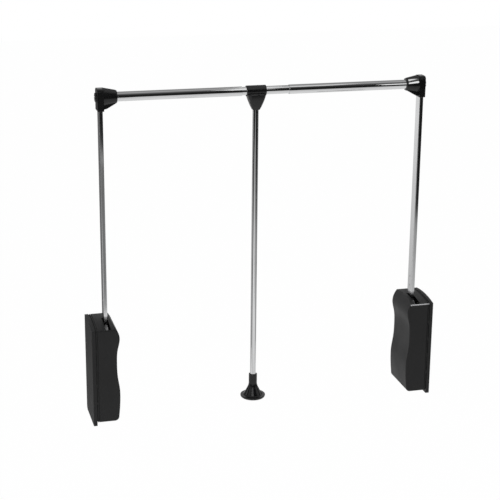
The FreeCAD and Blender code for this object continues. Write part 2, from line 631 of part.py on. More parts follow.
def crosshead():
    """Slides up as the arm comes down: forked top with a cross slot for the tail pin."""
    half_x = FRAME_GAP / 2 - CROSSHEAD_SIDE_GAP
    foot_z = CROSSHEAD_TOP_Z - CROSSHEAD_HIGH
    body = box(ARM_X - half_x, ARM_X + half_x, PIVOT_Y + LEVER_BOSS_R + CROSSHEAD_LEVER_GAP,
               DAMPER_Y + CROSSHEAD_BACK,
               foot_z, CROSSHEAD_TOP_Z)
    cheek_in = LEVER_THICK / 2 + CHEEK_GAP
    cap_z = TAIL_Z + TAIL_PIN_R + SLOT_PLAY + CHEEK_CAP
    cheeks = []
    for side in (-1, 1):
        near = ARM_X + side * cheek_in
        far = ARM_X + side * (cheek_in + CHEEK_THICK)
        cheek = box(min(near, far), max(near, far), SPRING_Y - CHEEK_HALF, SPRING_Y + CHEEK_HALF,
                    foot_z, cap_z)
        cheeks.append(cheek)
    head = fuse(body, *cheeks)
    slot_half_z = TAIL_PIN_R + SLOT_PLAY
    slot_half_y = SLOT_REACH + TAIL_PIN_R + SLOT_PLAY
    slot = box(ARM_X - FRAME_GAP, ARM_X + FRAME_GAP, SPRING_Y - slot_half_y,
               SPRING_Y + slot_half_y, TAIL_Z - slot_half_z, TAIL_Z + slot_half_z)
    slot = slot.makeFillet(SLOT_CORNER, edges_along(slot, V(1, 0, 0)))
    head = head.cut(slot)
    head = head.cut(rod_z(SPRING_ROD_R + PRESS_GAP, foot_z - OVERCUT, foot_z + ROD_BITE, ARM_X, SPRING_Y))
    return head.cut(rod_z(DAMPER_ROD_R + PRESS_GAP, foot_z - OVERCUT, foot_z + ROD_BITE, ARM_X, DAMPER_Y))


def spring_rod():
    top = CROSSHEAD_TOP_Z - CROSSHEAD_HIGH + ROD_BITE
    return rod_z(SPRING_ROD_R, ROD_FOOT_Z, top, ARM_X, SPRING_Y)


def spring_nut():
    """Washer and hexagon nut that carry the spring's lower end."""
    washer = rod_z(WASHER_R, WASHER_FOOT_Z, WASHER_TOP_Z, ARM_X, SPRING_Y)
    corner = NUT_HALF / math.cos(math.radians(30))
    corners = [V(ARM_X + corner * math.cos(math.radians(60 * i)),
                 SPRING_Y + corner * math.sin(math.radians(60 * i)), NUT_FOOT_Z)
               for i in range(6)]
    nut = polygon(corners, V(0, 0, NUT_HIGH))
    hole = rod_z(SPRING_ROD_R + PRESS_GAP, NUT_FOOT_Z - OVERCUT, WASHER_TOP_Z + OVERCUT,
                 ARM_X, SPRING_Y)
    return Part.makeCompound([washer.cut(hole), nut.cut(hole)])


def lift_spring():
    start_z = WASHER_TOP_Z + SPRING_WIRE_R + FIT_GAP
    helix = Part.makeHelix(SPRING_RISE / SPRING_TURNS, SPRING_RISE, SPRING_R)
    section = Part.Wire(Part.makeCircle(SPRING_WIRE_R, V(SPRING_R, 0, 0), V(0, 1, 0)))
    coil = Part.Wire(helix).makePipeShell([section], True, True)
    coil.translate(V(ARM_X, SPRING_Y, start_z))
    return coil


def damper_cylinder():
    """Hydraulic damper: closed cylinder with a neck that is held in the spring seat."""
    top = SEAT_BOTTOM_Z
    body = rod_z(DAMPER_R, DAMPER_FOOT_Z, top, ARM_X, DAMPER_Y)
    rims = [e for e in body.Edges if isinstance(e.Curve, Part.Circle)]
    body = body.makeFillet(DAMPER_EDGE_R, rims)
    neck_top = SEAT_TOP_Z + DAMPER_NECK_HIGH
    body = fuse(body, rod_z(DAMPER_NECK_R, top - OVERCUT, neck_top, ARM_X, DAMPER_Y))
    bore_foot = SEAT_TOP_Z - DAMPER_STROKE_END - DAMPER_BORE_SPARE
    return body.cut(rod_z(DAMPER_ROD_R + RUNNING_GAP, bore_foot, neck_top + OVERCUT,
                          ARM_X, DAMPER_Y))


def damper_rod():
    top = CROSSHEAD_TOP_Z - CROSSHEAD_HIGH + ROD_BITE
    return rod_z(DAMPER_ROD_R, SEAT_TOP_Z - DAMPER_STROKE_END, top, ARM_X, DAMPER_Y)


# ---- corner connector and bar ----

def connector_sleeve():
    """Sleeve round the bar: oval where it leaves the knuckle, round at its mouth."""
    oval = Part.Ellipse(V(0, 0, 0), SLEEVE_ROOT_HIGH, SLEEVE_ROOT_DEEP).toShape()
    oval.rotate(V(0, 0, 0), V(0, 1, 0), 90)
    oval.translate(V(KNUCKLE_IN_X, 0, 0))
    ring = Part.makeCircle(SLEEVE_MOUTH_R, V(0, 0, 0), V(0, 0, 1))
    ring.rotate(V(0, 0, 0), V(0, 1, 0), 90)
    ring.translate(V(SLEEVE_MOUTH_X, 0, 0))
    sleeve = Part.makeLoft([Part.Wire(oval), Part.Wire(ring)], True, True)
    root = Part.Face(Part.Wire(oval)).extrude(V(-OVERCUT, 0, 0))
    mouth = [e for e in sleeve.Edges if e.BoundBox.XMin > SLEEVE_MOUTH_X - 0.01]
    return fuse(sleeve.makeFillet(SLEEVE_EDGE_R, mouth), root)


def corner_connector():
    """Moulded elbow: upright socket for the arm, flared sleeve for the bar, web below."""
    knuckle = box(KNUCKLE_OUT_X, KNUCKLE_IN_X, -KNUCKLE_DEPTH, KNUCKLE_DEPTH,
                  KNUCKLE_BOTTOM_Z, KNUCKLE_TOP)
    top_edges = [e for e in edges_along(knuckle, V(1, 0, 0)) if e.Vertexes[0].Z > 0]
    knuckle = knuckle.makeFillet(KNUCKLE_CORNER, top_edges)
    outer_edges = [e for e in knuckle.Edges if e.BoundBox.XMax < KNUCKLE_OUT_X + 0.01]
    knuckle = knuckle.makeFillet(KNUCKLE_EDGE_R, outer_edges)
    sleeve = connector_sleeve()
    half = GUSSET_HALF
    tip_x = SLEEVE_MOUTH_X - GUSSET_MOUTH_BACK
    root_x = KNUCKLE_IN_X - OVERCUT
    web = polygon([V(tip_x, -half, 0), V(tip_x, -half, GUSSET_TIP_Z),
                   V(KNUCKLE_IN_X + GUSSET_BEND_BACK, -half, GUSSET_BEND_Z),
                   V(root_x, -half, GUSSET_ROOT_Z), V(root_x, -half, 0)],
                  V(0, 2 * half, 0))
    body = fuse(knuckle, sleeve, web)
    bore = rod_x(BAR_R + SOCKET_GAP, BAR_STOP_X, SLEEVE_MOUTH_X + OVERCUT, 0, 0)
    socket = box(ARM_X - ARM_THICK / 2 - SOCKET_GAP, ARM_X + ARM_THICK / 2 + SOCKET_GAP,
                 -ARM_DEPTH / 2 - SOCKET_GAP, ARM_DEPTH / 2 + SOCKET_GAP,
                 KNUCKLE_BOTTOM_Z - OVERCUT, ARM_TOP_Z + ARM_END_GAP)
    spigot_hole = rod_x(CAP_SPIGOT_R + PRESS_GAP, KNUCKLE_OUT_X - OVERCUT, BAR_STOP_X + OVERCUT, 0, 0)
    body = body.cut(bore).cut(socket).cut(spigot_hole)
    for x, z in connector_screw_centres():
        body = body.cut(rod_y(SMALL_SCREW_R + SCREW_GAP, 0, KNUCKLE_DEPTH + OVERCUT, x, z))
        body = body.cut(rod_y(SMALL_HEAD_R + HEAD_GAP, SMALL_HEAD_Y, KNUCKLE_DEPTH + OVERCUT, x, z))
    return body


def connector_screw_centres():
    return [(ARM_X, ARM_SCREW_Z), (SLEEVE_MOUTH_X - BAR_SCREW_BACK, 0)]


def cross_cut(screw, x, head_y, z):
    """Small screw with a cross recess in its back face."""
    for half_x, half_z in ((SMALL_CROSS_HALF, SMALL_CROSS_REACH),
                           (SMALL_CROSS_REACH, SMALL_CROSS_HALF)):
        screw = screw.cut(box(x - half_x, x + half_x, head_y - SMALL_CROSS_DEEP, head_y + OVERCUT,
                              z - half_z, z + half_z))
    return screw


def connector_screws():
    screws = []
    for x, z in connector_screw_centres():
        shank = rod_y(SMALL_SCREW_R, SMALL_SCREW_TIP_Y, SMALL_HEAD_Y, x, z)
        head = rod_y(SMALL_HEAD_R, SMALL_HEAD_Y, SMALL_HEAD_Y + SMALL_HEAD, x, z)
        screws.append(cross_cut(fuse(shank, head), x, SMALL_HEAD_Y + SMALL_HEAD, z))
    return Part.makeCompound(screws)


def connector_cap():
    cap_x = KNUCKLE_OUT_X - CAP_THICK
    disc = rod_x(CAP_R, cap_x, KNUCKLE_OUT_X, 0, 0)
    rim = [e for e in disc.Edges if e.BoundBox.XMax < cap_x + 0.01]
    disc = disc.makeFillet(CAP_EDGE_R, rim)
    cap = fuse(disc, rod_x(CAP_SPIGOT_R, KNUCKLE_OUT_X, BAR_STOP_X - CAP_SPIGOT_END, 0, 0))
    return cap.cut(box(cap_x - OVERCUT, cap_x + CAP_SLOT_DEEP, -CAP_R - OVERCUT, CAP_R + OVERCUT,
                       -CAP_SLOT / 2, CAP_SLOT / 2))


def bar_tube(x0, x1):
    tube = rod_x(BAR_R, x0, x1, 0, 0)
    return tube.cut(rod_x(BAR_R - BAR_WALL, x0 - OVERCUT, x1 + OVERCUT, 0, 0))


def left_outer_tube():
    tube = bar_tube(BAR_STOP_X + BAR_END_GAP, LEFT_BAR_END)
    x, z = connector_screw_centres()[1]
    return tube.cut(rod_y(SMALL_SCREW_R + SCREW_GAP, 0, BAR_R + OVERCUT, x, z))


def right_outer_tube():
    tube = bar_tube(RIGHT_BAR_END, -BAR_STOP_X - BAR_END_GAP)
    x, z = connector_screw_centres()[1]
    return tube.cut(rod_y(SMALL_SCREW_R + SCREW_GAP, 0, BAR_R + OVERCUT, -x, z))


def clip_planes():
    """Left-hand faces of the two clips that keep the hub bush in place on the inner tube."""
    inner = HUB_LIP + FIT_GAP
    return (HUB_LEFT_X + inner, HUB_RIGHT_X - inner - CLIP_WIDTH)


def inner_tube():
    x0 = LEFT_BAR_END - INNER_BAR_GRIP
    x1 = RIGHT_BAR_END + INNER_BAR_GRIP
    tube = rod_x(INNER_BAR_R, x0, x1, 0, 0)
    tube = tube.cut(rod_x(INNER_BAR_R - INNER_BAR_WALL, x0 - OVERCUT, x1 + OVERCUT, 0, 0))
    for x in clip_planes():
        ring = rod_x(INNER_BAR_R + OVERCUT, x - PRESS_GAP, x + CLIP_WIDTH + PRESS_GAP, 0, 0)
        core = rod_x(INNER_BAR_R - CLIP_GROOVE, x - OVERCUT, x + CLIP_WIDTH + OVERCUT, 0, 0)
        tube = tube.cut(ring.cut(core))
    return tube


# ---- pull handle ----

def hub_clips():
    clips = []
    for x in clip_planes():
        x0 = x - OVERCUT
        x1 = x + CLIP_WIDTH + OVERCUT
        ring = rod_x(CLIP_R, x, x + CLIP_WIDTH, 0, 0)
        ring = ring.cut(rod_x(INNER_BAR_R - CLIP_GROOVE + PRESS_GAP, x0, x1, 0, 0))
        mouth = box(x0, x1, -CLIP_MOUTH_HALF, CLIP_MOUTH_HALF, -CLIP_R - OVERCUT, 0)
        clips.append(ring.cut(mouth))
    return Part.makeCompound(clips)


def hub_bush():
    left, right = clip_planes()
    x0 = left + CLIP_WIDTH + FIT_GAP
    x1 = right - FIT_GAP
    bush = rod_x(HUB_BUSH_R, x0, x1, 0, 0)
    return bush.cut(rod_x(INNER_BAR_R + RUNNING_GAP, x0, x1, 0, 0))


def shield():
    """Lower body of the hub: parabolic from the front, tapered from the side."""
    depth = SHIELD_DEPTH
    neck = HANDLE_R + SHIELD_NECK_WALL
    cx = HUB_OFFSET
    bulge_x, bulge_z = SHIELD_BULGE
    side_y, side_z = SHIELD_SIDE_BULGE
    y = -depth
    front = prism([line(V(cx - SHIELD_HALF, y, 0), V(cx + SHIELD_HALF, y, 0)),
                   line(V(cx + SHIELD_HALF, y, 0), V(cx + SHIELD_HALF, y, SHIELD_TOP_Z)),
                   arc(V(cx + SHIELD_HALF, y, SHIELD_TOP_Z), V(cx + bulge_x, y, bulge_z),
                       V(cx + neck, y, SHIELD_BOTTOM_Z)),
                   line(V(cx + neck, y, SHIELD_BOTTOM_Z), V(cx - neck, y, SHIELD_BOTTOM_Z)),
                   arc(V(cx - neck, y, SHIELD_BOTTOM_Z), V(cx - bulge_x, y, bulge_z),
                       V(cx - SHIELD_HALF, y, SHIELD_TOP_Z)),
                   line(V(cx - SHIELD_HALF, y, SHIELD_TOP_Z), V(cx - SHIELD_HALF, y, 0))],
                  V(0, 2 * depth, 0))
    x = cx - SHIELD_HALF
    ledge = math.sqrt(HUB_R ** 2 - SHIELD_LEDGE_Z ** 2) - SHIELD_LEDGE_BITE
    side = prism([line(V(x, -ledge, SHIELD_LEDGE_Z), V(x, ledge, SHIELD_LEDGE_Z)),
                  line(V(x, ledge, SHIELD_LEDGE_Z), V(x, depth, SHIELD_TOP_Z)),
                  arc(V(x, depth, SHIELD_TOP_Z), V(x, side_y, side_z), V(x, neck, SHIELD_BOTTOM_Z)),
                  line(V(x, neck, SHIELD_BOTTOM_Z), V(x, -neck, SHIELD_BOTTOM_Z)),
                  arc(V(x, -neck, SHIELD_BOTTOM_Z), V(x, -side_y, side_z),
                      V(x, -depth, SHIELD_TOP_Z)),
                  line(V(x, -depth, SHIELD_TOP_Z), V(x, -ledge, SHIELD_LEDGE_Z))],
                 V(2 * SHIELD_HALF, 0, 0))
    return front.common(side)


def hub_screw_centres():
    return [(HUB_OFFSET - HUB_SCREW_SIDE, HUB_SCREW_Z), (HUB_OFFSET + HUB_SCREW_SIDE, HUB_SCREW_Z),
            (HUB_OFFSET, HUB_LOWER_SCREW_Z)]


def hub_body():
    """Whole hub: sleeve round the bar and shield below, bored for bush, tube and screws."""
    sleeve = rod_x(HUB_R, HUB_LEFT_X, HUB_RIGHT_X, 0, 0)
    body = fuse(sleeve, shield())
    body = body.cut(rod_x(HUB_BUSH_R + RUNNING_GAP, HUB_LEFT_X + HUB_LIP, HUB_RIGHT_X - HUB_LIP, 0, 0))
    body = body.cut(rod_x(INNER_BAR_R + HUB_LIP_GAP, HUB_LEFT_X - OVERCUT, HUB_RIGHT_X + OVERCUT, 0, 0))
    body = body.cut(rod_z(HANDLE_R + PRESS_GAP, SHIELD_BOTTOM_Z - OVERCUT, HANDLE_TOP_Z + HANDLE_END_GAP,
                          HUB_OFFSET, 0))
    for x, z in hub_screw_centres():
        body = body.cut(rod_y(HUB_SCREW_R + PRESS_GAP, HUB_SCREW_TIP_Y, SHIELD_DEPTH + OVERCUT, x, z))
        body = body.cut(rod_y(HUB_SCREW_HEAD_R + HEAD_GAP, HUB_SCREW_SEAT_Y, SHIELD_DEPTH + OVERCUT, x, z))
    return body


def hub_half(side):
    """Front half for side -1, rear half for side 1, parted on the bar's upright mid-plane."""
    reach = SHIELD_DEPTH + OVERCUT
    y0 = 0 if side > 0 else -reach
    cutter = box(HUB_LEFT_X - OVERCUT, HUB_RIGHT_X + OVERCUT, y0, y0 + reach,
                 SHIELD_BOTTOM_Z - OVERCUT, HUB_R + OVERCUT)
    return hub_body().common(cutter)


def hub_screws():
    screws = []
    head_y = HUB_SCREW_SEAT_Y + HUB_SCREW_HEAD
    for x, z in hub_screw_centres():
        shank = rod_y(HUB_SCREW_R, HUB_SCREW_TIP_Y, HUB_SCREW_SEAT_Y, x, z)
        head = rod_y(HUB_SCREW_HEAD_R, HUB_SCREW_SEAT_Y, head_y, x, z)
        screws.append(cross_cut(fuse(shank, head), x, head_y, z))
    return Part.makeCompound(screws)


def handle_tube():
    tube = rod_z(HANDLE_R, HANDLE_FOOT_Z, HANDLE_TOP_Z, HUB_OFFSET, 0)
    tube = tube.cut(rod_z(HANDLE_R - HANDLE_WALL, HANDLE_FOOT_Z - OVERCUT, HANDLE_TOP_Z + OVERCUT,
                          HUB_OFFSET, 0))
    tube = tube.cut(rod_y(HUB_SCREW_R + PRESS_GAP, -HANDLE_R - OVERCUT, HANDLE_R + OVERCUT,
                          HUB_OFFSET, HUB_LOWER_SCREW_Z))
    return tube.cut(rod_y(PLUG_HOLE_R, -HANDLE_R - OVERCUT, 0, HUB_OFFSET, plug_top() - PLUG_HOLE_BACK))


def plug_top():
    return HANDLE_FOOT_Z + PLUG_LENGTH


def tube_plug():
    """Plug inside the handle tube's lower end, which the knob's screw bites into."""
    plug = rod_z(HANDLE_R - HANDLE_WALL - PLUG_GAP, HANDLE_FOOT_Z, plug_top(), HUB_OFFSET, 0)
    pip = rod_y(PLUG_HOLE_R - PRESS_GAP, -HANDLE_R + PIP_SINK, 0, HUB_OFFSET, plug_top() - PLUG_HOLE_BACK)
    screw_hole = rod_z(KNOB_SCREW_R + PRESS_GAP, HANDLE_FOOT_Z - OVERCUT,
                       knob_screw_tip() + OVERCUT, HUB_OFFSET, 0)
    return fuse(plug, pip).cut(screw_hole)


def knob_screw_tip():
    return KNOB_BASE_Z + KNOB_RECESS + KNOB_SCREW_LENGTH


def pull_knob():
    """Turned form: plain socket, steep cone and a thick rim, rounded below."""
    rim_top = KNOB_BASE_Z + KNOB_RIM
    outline = [V(0, 0, KNOB_TOP_Z), V(KNOB_SOCKET_R, 0, KNOB_TOP_Z), V(KNOB_SOCKET_R, 0, KNOB_CONE_Z),
               V(KNOB_CONE_R, 0, rim_top), V(KNOB_R, 0, rim_top), V(KNOB_R, 0, KNOB_BASE_Z),
               V(0, 0, KNOB_BASE_Z)]
    knob = Part.Face(Part.makePolygon(outline + outline[:1])).revolve(V(0, 0, 0), V(0, 0, 1), 360)
    for radius, z, edge_r in ((KNOB_CONE_R, rim_top, KNOB_CONE_FILLET), (KNOB_R, rim_top, KNOB_TOP_EDGE_R),
                              (KNOB_R, KNOB_BASE_Z, KNOB_FOOT_EDGE_R)):
        rings = [e for e in knob.Edges if isinstance(e.Curve, Part.Circle)
                 and abs(e.Curve.Radius - radius) < 0.1 and abs(e.Curve.Center.z - z) < 0.1]
        knob = knob.makeFillet(edge_r, rings)
    knob.translate(V(HUB_OFFSET, 0, 0))
    knob = knob.cut(rod_z(HANDLE_R + PRESS_GAP, HANDLE_FOOT_Z, KNOB_TOP_Z + OVERCUT, HUB_OFFSET, 0))
    knob = knob.cut(rod_z(KNOB_RECESS_R, KNOB_BASE_Z - OVERCUT, KNOB_BASE_Z + KNOB_RECESS, HUB_OFFSET, 0))
    return knob.cut(rod_z(KNOB_SCREW_R + SCREW_GAP, KNOB_BASE_Z, HANDLE_FOOT_Z + OVERCUT, HUB_OFFSET, 0))


def knob_screw():
    seat = KNOB_BASE_Z + KNOB_RECESS
    shank = rod_z(KNOB_SCREW_R, seat, knob_screw_tip(), HUB_OFFSET, 0)
    head = rod_z(KNOB_SCREW_HEAD_R, seat - KNOB_SCREW_HEAD, seat, HUB_OFFSET, 0)
    return fuse(shank, head)


# ---- assembly ----

SIDE_PIECES = {
    "base_plate": base_plate,
    "housing_cover": housing_cover,
    "outer_frame_plate": lambda: frame_plate(inward(FRAME_OUT - FRAME_SHEET)),
    "inner_frame_plate": lambda: frame_plate(inward(FRAME_IN)),
    "frame_spacers": frame_spacers,
    "frame_screws": frame_screws,
    "pivot_axle": pivot_axle,
    "stop_buffer": stop_buffer,
    "stop_pin": stop_pin,
    "spring_seat": spring_seat,
    "pivot_bush": pivot_bush,
    "arm_lever": arm_lever,
    "arm_rivets": arm_rivets,
    "lift_arm": lift_arm,
    "tail_pin": tail_pin,
    "crosshead": crosshead,
    "spring_rod": spring_rod,
    "spring_nut": spring_nut,
    "lift_spring": lift_spring,
    "damper_cylinder": damper_cylinder,
    "damper_rod": damper_rod,
    "corner_connector": corner_connector,
    "connector_cap": connector_cap,
    "connector_screws": connector_screws,
}

CENTRE_PIECES = {
    "left_outer_tube": left_outer_tube,
    "right_outer_tube": right_outer_tube,
    "inner_tube": inner_tube,
    "hub_clips": hub_clips,
    "hub_bush": hub_bush,
    "hub_front_shell": lambda: hub_half(-1),
    "hub_rear_shell": lambda: hub_half(1),
    "hub_screws": hub_screws,
    "handle_tube": handle_tube,
    "tube_plug": tube_plug,
    "pull_knob": pull_knob,
    "knob_screw": knob_screw,
}


def save(name, shape):
    if not shape.isValid() or not shape.Solids:
        raise ValueError(name + " is not a valid solid")
    shape.exportStep("parts/" + name + ".step")


def main():
    os.makedirs("parts", exist_ok=True)
    for name, make in SIDE_PIECES.items():
        piece = make()
        save("left_" + name, piece)
        save("right_" + name, mirrored(piece))
    for name, make in CENTRE_PIECES.items():
        save(name, make())


main()
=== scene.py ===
import math

import bmesh
import bpy
from mathutils import Matrix, Vector

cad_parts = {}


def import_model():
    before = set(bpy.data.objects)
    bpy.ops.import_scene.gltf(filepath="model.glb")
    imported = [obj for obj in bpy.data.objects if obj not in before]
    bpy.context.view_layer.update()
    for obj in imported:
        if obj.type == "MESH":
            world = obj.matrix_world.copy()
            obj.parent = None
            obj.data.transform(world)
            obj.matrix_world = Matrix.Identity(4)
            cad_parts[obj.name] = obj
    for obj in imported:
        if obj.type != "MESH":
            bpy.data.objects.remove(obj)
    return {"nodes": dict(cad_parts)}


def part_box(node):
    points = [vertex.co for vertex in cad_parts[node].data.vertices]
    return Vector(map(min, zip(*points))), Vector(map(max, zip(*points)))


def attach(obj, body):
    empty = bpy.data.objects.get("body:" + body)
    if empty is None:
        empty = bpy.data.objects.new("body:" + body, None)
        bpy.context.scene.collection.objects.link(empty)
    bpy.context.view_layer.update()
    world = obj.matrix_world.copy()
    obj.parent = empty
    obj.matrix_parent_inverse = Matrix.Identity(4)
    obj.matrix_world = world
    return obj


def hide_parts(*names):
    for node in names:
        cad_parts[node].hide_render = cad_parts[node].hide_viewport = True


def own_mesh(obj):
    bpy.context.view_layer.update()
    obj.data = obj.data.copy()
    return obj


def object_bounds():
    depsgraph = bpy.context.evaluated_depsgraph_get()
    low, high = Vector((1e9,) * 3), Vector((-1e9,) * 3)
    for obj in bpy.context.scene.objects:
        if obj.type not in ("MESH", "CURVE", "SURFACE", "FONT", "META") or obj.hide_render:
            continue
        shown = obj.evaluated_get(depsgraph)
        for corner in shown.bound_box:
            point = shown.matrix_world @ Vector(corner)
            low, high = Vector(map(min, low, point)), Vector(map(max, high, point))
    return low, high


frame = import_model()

cad_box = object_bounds()
nodes = frame["nodes"]

# Wardrobe lift, in metres. X runs along the hanging bar, Y points into the wardrobe, Z is up.
MM = 0.001

# camera: where it stands and, in degrees, how it is turned
CAMERA_PLACE = (-0.9834, -3.5162, 0.7122)
CAMERA_YAW = 15.083
CAMERA_PITCH = -17.522
CAMERA_ROLL = 0.544
IMAGE_SIDE = 500.0          # pixels
FOCAL_PIXELS = 1407.5
SENSOR = 36.0               # millimetres, as Blender gives a sensor
VIEW_END = 60.0             # nothing further off is drawn

# floor and lamps
FLOOR_DROP = 1.2            # floor below the lift's lowest point
FLOOR_HALF = 14.0
FLOOR_COLOUR = (0.86, 0.86, 0.86)
FLOOR_ROUGH = 0.9
FLOOR_GLOSS = 0.1
FLOOR_WHITE = 0.985         # how far the floor is white to the eye; the rest shows the shadow
SURROUND_LIGHT = 0.55       # strength of the surround as a light
LAMP_TARGET = (0.0, 0.0, -0.4)
SOFTBOXES = {               # place, width and height, power
    "overhead_softbox": ((0.0, -0.4, 2.6), (3.4, 2.4), 60.0),
    "left_softbox": ((-2.6, -2.2, 1.8), (1.4, 1.4), 30.0),
}

# large cards round the lift: only glossy surfaces see them, as bands of dark and light
CARD_WIDE = (-7.0, 7.0)     # x from and to of the wide ones
FRONT_CARD_Y = -3.0
FRONT_CARD_TOP = 1.75
SIDE_CARD_X = 3.2
SIDE_CARD_BACK_Y = 1.0
SIDE_CARD_TOP = 1.6
BACK_CARD_Y = 4.0
CEILING_Z = 2.6
CEILING_Y = (-5.0, 9.0)     # from and to
CARD_LIFT = 0.01            # floor card above the floor
# their brightness, as (metres, level) along Z or, for the two level ones, along Y
FRONT_STOPS = [(-2.08, 0.70), (-1.75, 0.70), (-1.44, 0.82), (-1.21, 0.68), (-0.97, 0.44), (-0.78, 0.33),
               (-0.66, 0.31), (-0.58, 0.03), (-0.48, 0.012), (1.5, 0.012), (1.75, 0.03)]
FRONT_SWAY = (-0.86, 3.7, 1.0)        # middle of the bands, distance aside, and how far they sink there
SIDE_STOPS = [(-2.08, 0.50), (-1.97, 0.42), (-1.72, 0.30), (-1.46, 0.20), (-1.24, 0.10), (-1.0, 0.02),
              (-0.68, 0.03), (-0.58, 0.3), (0.2, 0.55), (1.6, 0.5)]
CEILING_STOPS = [(-5.0, 0.02), (-3.3, 0.03), (-2.6, 0.08), (-1.8, 0.14), (-1.0, 0.21), (-0.5, 0.36),
                 (0.0, 0.42), (0.9, 0.27), (2.6, 0.24), (4.5, 0.32)]
BACK_STOPS = [(-2.08, 0.5), (-1.9, 0.54), (-1.65, 0.58), (-1.3, 0.66), (-1.0, 0.75), (2.6, 0.45)]
FLOOR_STOPS = [(-3.0, 0.55), (-1.5, 0.68), (0.0, 0.76), (4.0, 0.6)]

# small cards: flags are dark, panels are bright
CARD_GAP = 0.1              # small card to the large one behind it
NEAR_FLAG_Y = 1.2           # flags close behind the lift
NEAR_PANEL_Y = -0.5         # panels close in front of it
FRONT_SMALL_Y = FRONT_CARD_Y + CARD_GAP
BACK_SMALL_Y = BACK_CARD_Y - CARD_GAP
BACK_FLAG_STOPS = [(-2.08, 0.3), (-1.6, 0.06), (0.5, 0.04)]
# upright ones: x from and to, y, z from and to, and stops along Z or one level
UPRIGHT_CARDS = {
    "dark_flag": ((-1.3, -0.32), NEAR_FLAG_Y, (-1.6, 0.4), [(-1.6, 0.3), (-1.0, 0.15), (0.4, 0.13)]),
    "hub_flag": ((-0.2, -0.09), NEAR_FLAG_Y, (-0.64, -0.28), 0.05),
    "grey_flag": ((-0.15, 0.2), FRONT_SMALL_Y, (-1.64, -0.9), [(-1.64, 0.32), (-1.5, 0.2), (-0.9, 0.16)]),
    "small_panel": ((0.51, 0.66), NEAR_PANEL_Y, (0.09, 0.30), 0.95),
    "hub_panel": ((0.06, 0.21), NEAR_PANEL_Y, (0.36, 0.8), 0.9),
    "left_back_flag": ((CARD_WIDE[0], -1.9), BACK_SMALL_Y, (-2.08, 0.5), BACK_FLAG_STOPS),
    "right_back_flag": ((1.9, CARD_WIDE[1]), BACK_SMALL_Y, (-2.08, 0.5), BACK_FLAG_STOPS),
    "key_panel": ((-2.0, -0.15), FRONT_SMALL_Y, (0.55, 1.35), 1.9),
}
# level ones, just under the ceiling card: x from and to, y from and to, level
LEVEL_PANELS_Z = 2.55
LEVEL_PANELS = {
    "overhead_panel": ((0.6, 1.15), (-1.55, -0.3), 0.75),
    "ledge_panel": ((0.58, 0.78), (0.1, 0.9), 1.1),
}


# ---- finishes ----

HOUSING_FINISH = {"colour": (0.009, 0.009, 0.0094), "sheen_colour": (0.013, 0.013, 0.0134),
                  "rough": (0.42, 0.52), "grain_scale": 1500.0, "grain_deep": 0.06 * MM, "gloss": 0.38}
PATCH_SCALE = 14.0          # cloudiness of a moulding's tone and gloss
SMEAR_SCALE = 6.0           # cloudiness of plated metal
SMEAR_SPAN = (0.35, 0.7)    # its noise, from bright to dull
STREAK_SCALE = 320.0        # polishing streaks
STREAK_DEEP = 0.004 * MM
NOISE_SPAN = (0.3, 0.7)     # where most of a noise lies
RIDGE_Y = -57.6 * MM        # painted highlight along the right housing's top front ridge lies in front of this
RIDGE_Z = -616.2 * MM       # and above this
RIDGE_FADE = 1.2 * MM
# pale colour painted on the ridge as a highlight
RIDGE_HIGHLIGHT_COLOUR = (0.42, 0.42, 0.43)


def new_material(name):
    """Material with its node tree and its shader."""
    material = bpy.data.materials.new(name)
    material.use_nodes = True
    tree = material.node_tree
    return material, tree, tree.nodes["Principled BSDF"]


def noise(tree, scale, detail, roughness=0.5, stretch=None):
    """Noise that sits still on the piece; a stretch under 1 draws it out along that axis."""
    place = tree.nodes.new("ShaderNodeTexCoord")
    source = place.outputs["Object"]
    if stretch:
        mapping = tree.nodes.new("ShaderNodeMapping")
        mapping.inputs["Scale"].default_value = stretch
        tree.links.new(source, mapping.inputs["Vector"])
        source = mapping.outputs["Vector"]
    texture = tree.nodes.new("ShaderNodeTexNoise")
    texture.inputs["Scale"].default_value = scale
    texture.inputs["Detail"].default_value = detail
    texture.inputs["Roughness"].default_value = roughness
    tree.links.new(source, texture.inputs["Vector"])
    return texture.outputs["Fac"]


def ranged(tree, value, low, high, from_low=0.0, from_high=1.0):
    """Takes a value from one range to another, and holds it there."""
    node = tree.nodes.new("ShaderNodeMapRange")
    node.inputs["From Min"].default_value = from_low
    node.inputs["From Max"].default_value = from_high
    node.inputs["To Min"].default_value = low
    node.inputs["To Max"].default_value = high
    tree.links.new(value, node.inputs["Value"])
    return node.outputs["Result"]


def set_input(tree, socket, value):
    """Gives a socket a plain number or colour, or what another socket puts out."""
    if isinstance(value, bpy.types.NodeSocket):
        tree.links.new(value, socket)
    elif isinstance(value, tuple):
        socket.default_value = (*value, 1)
    else:
        socket.default_value = value


def mixed(tree, factor, first, second):
    """Colour between two, each a plain colour or a socket."""
    node = tree.nodes.new("ShaderNodeMix")
    node.data_type = "RGBA"
    set_input(tree, node.inputs["A"], first)
    set_input(tree, node.inputs["B"], second)
    set_input(tree, node.inputs["Factor"], factor)
    return node.outputs["Result"]


def maths(tree, operation, *values, clamp=False):
    """Sum, product and the like of sockets and plain numbers."""
    node = tree.nodes.new("ShaderNodeMath")
    node.operation = operation
    node.use_clamp = clamp
    for socket, value in zip(node.inputs, values):
        set_input(tree, socket, value)
    return node.outputs["Value"]


def object_axes(tree):
    """Place on the piece, as three sockets X, Y and Z."""
    place = tree.nodes.new("ShaderNodeTexCoord")
    split = tree.nodes.new("ShaderNodeSeparateXYZ")
    tree.links.new(place.outputs["Object"], split.inputs["Vector"])
    return split.outputs


def bumped(tree, shader, height, distance):
    """Raises the surface by a pattern, up to a distance in metres."""
    node = tree.nodes.new("ShaderNodeBump")
    node.inputs["Strength"].default_value = 1.0
    node.inputs["Distance"].default_value = distance
    tree.links.new(height, node.inputs["Height"])
    tree.links.new(node.outputs["Normal"], shader.inputs["Normal"])


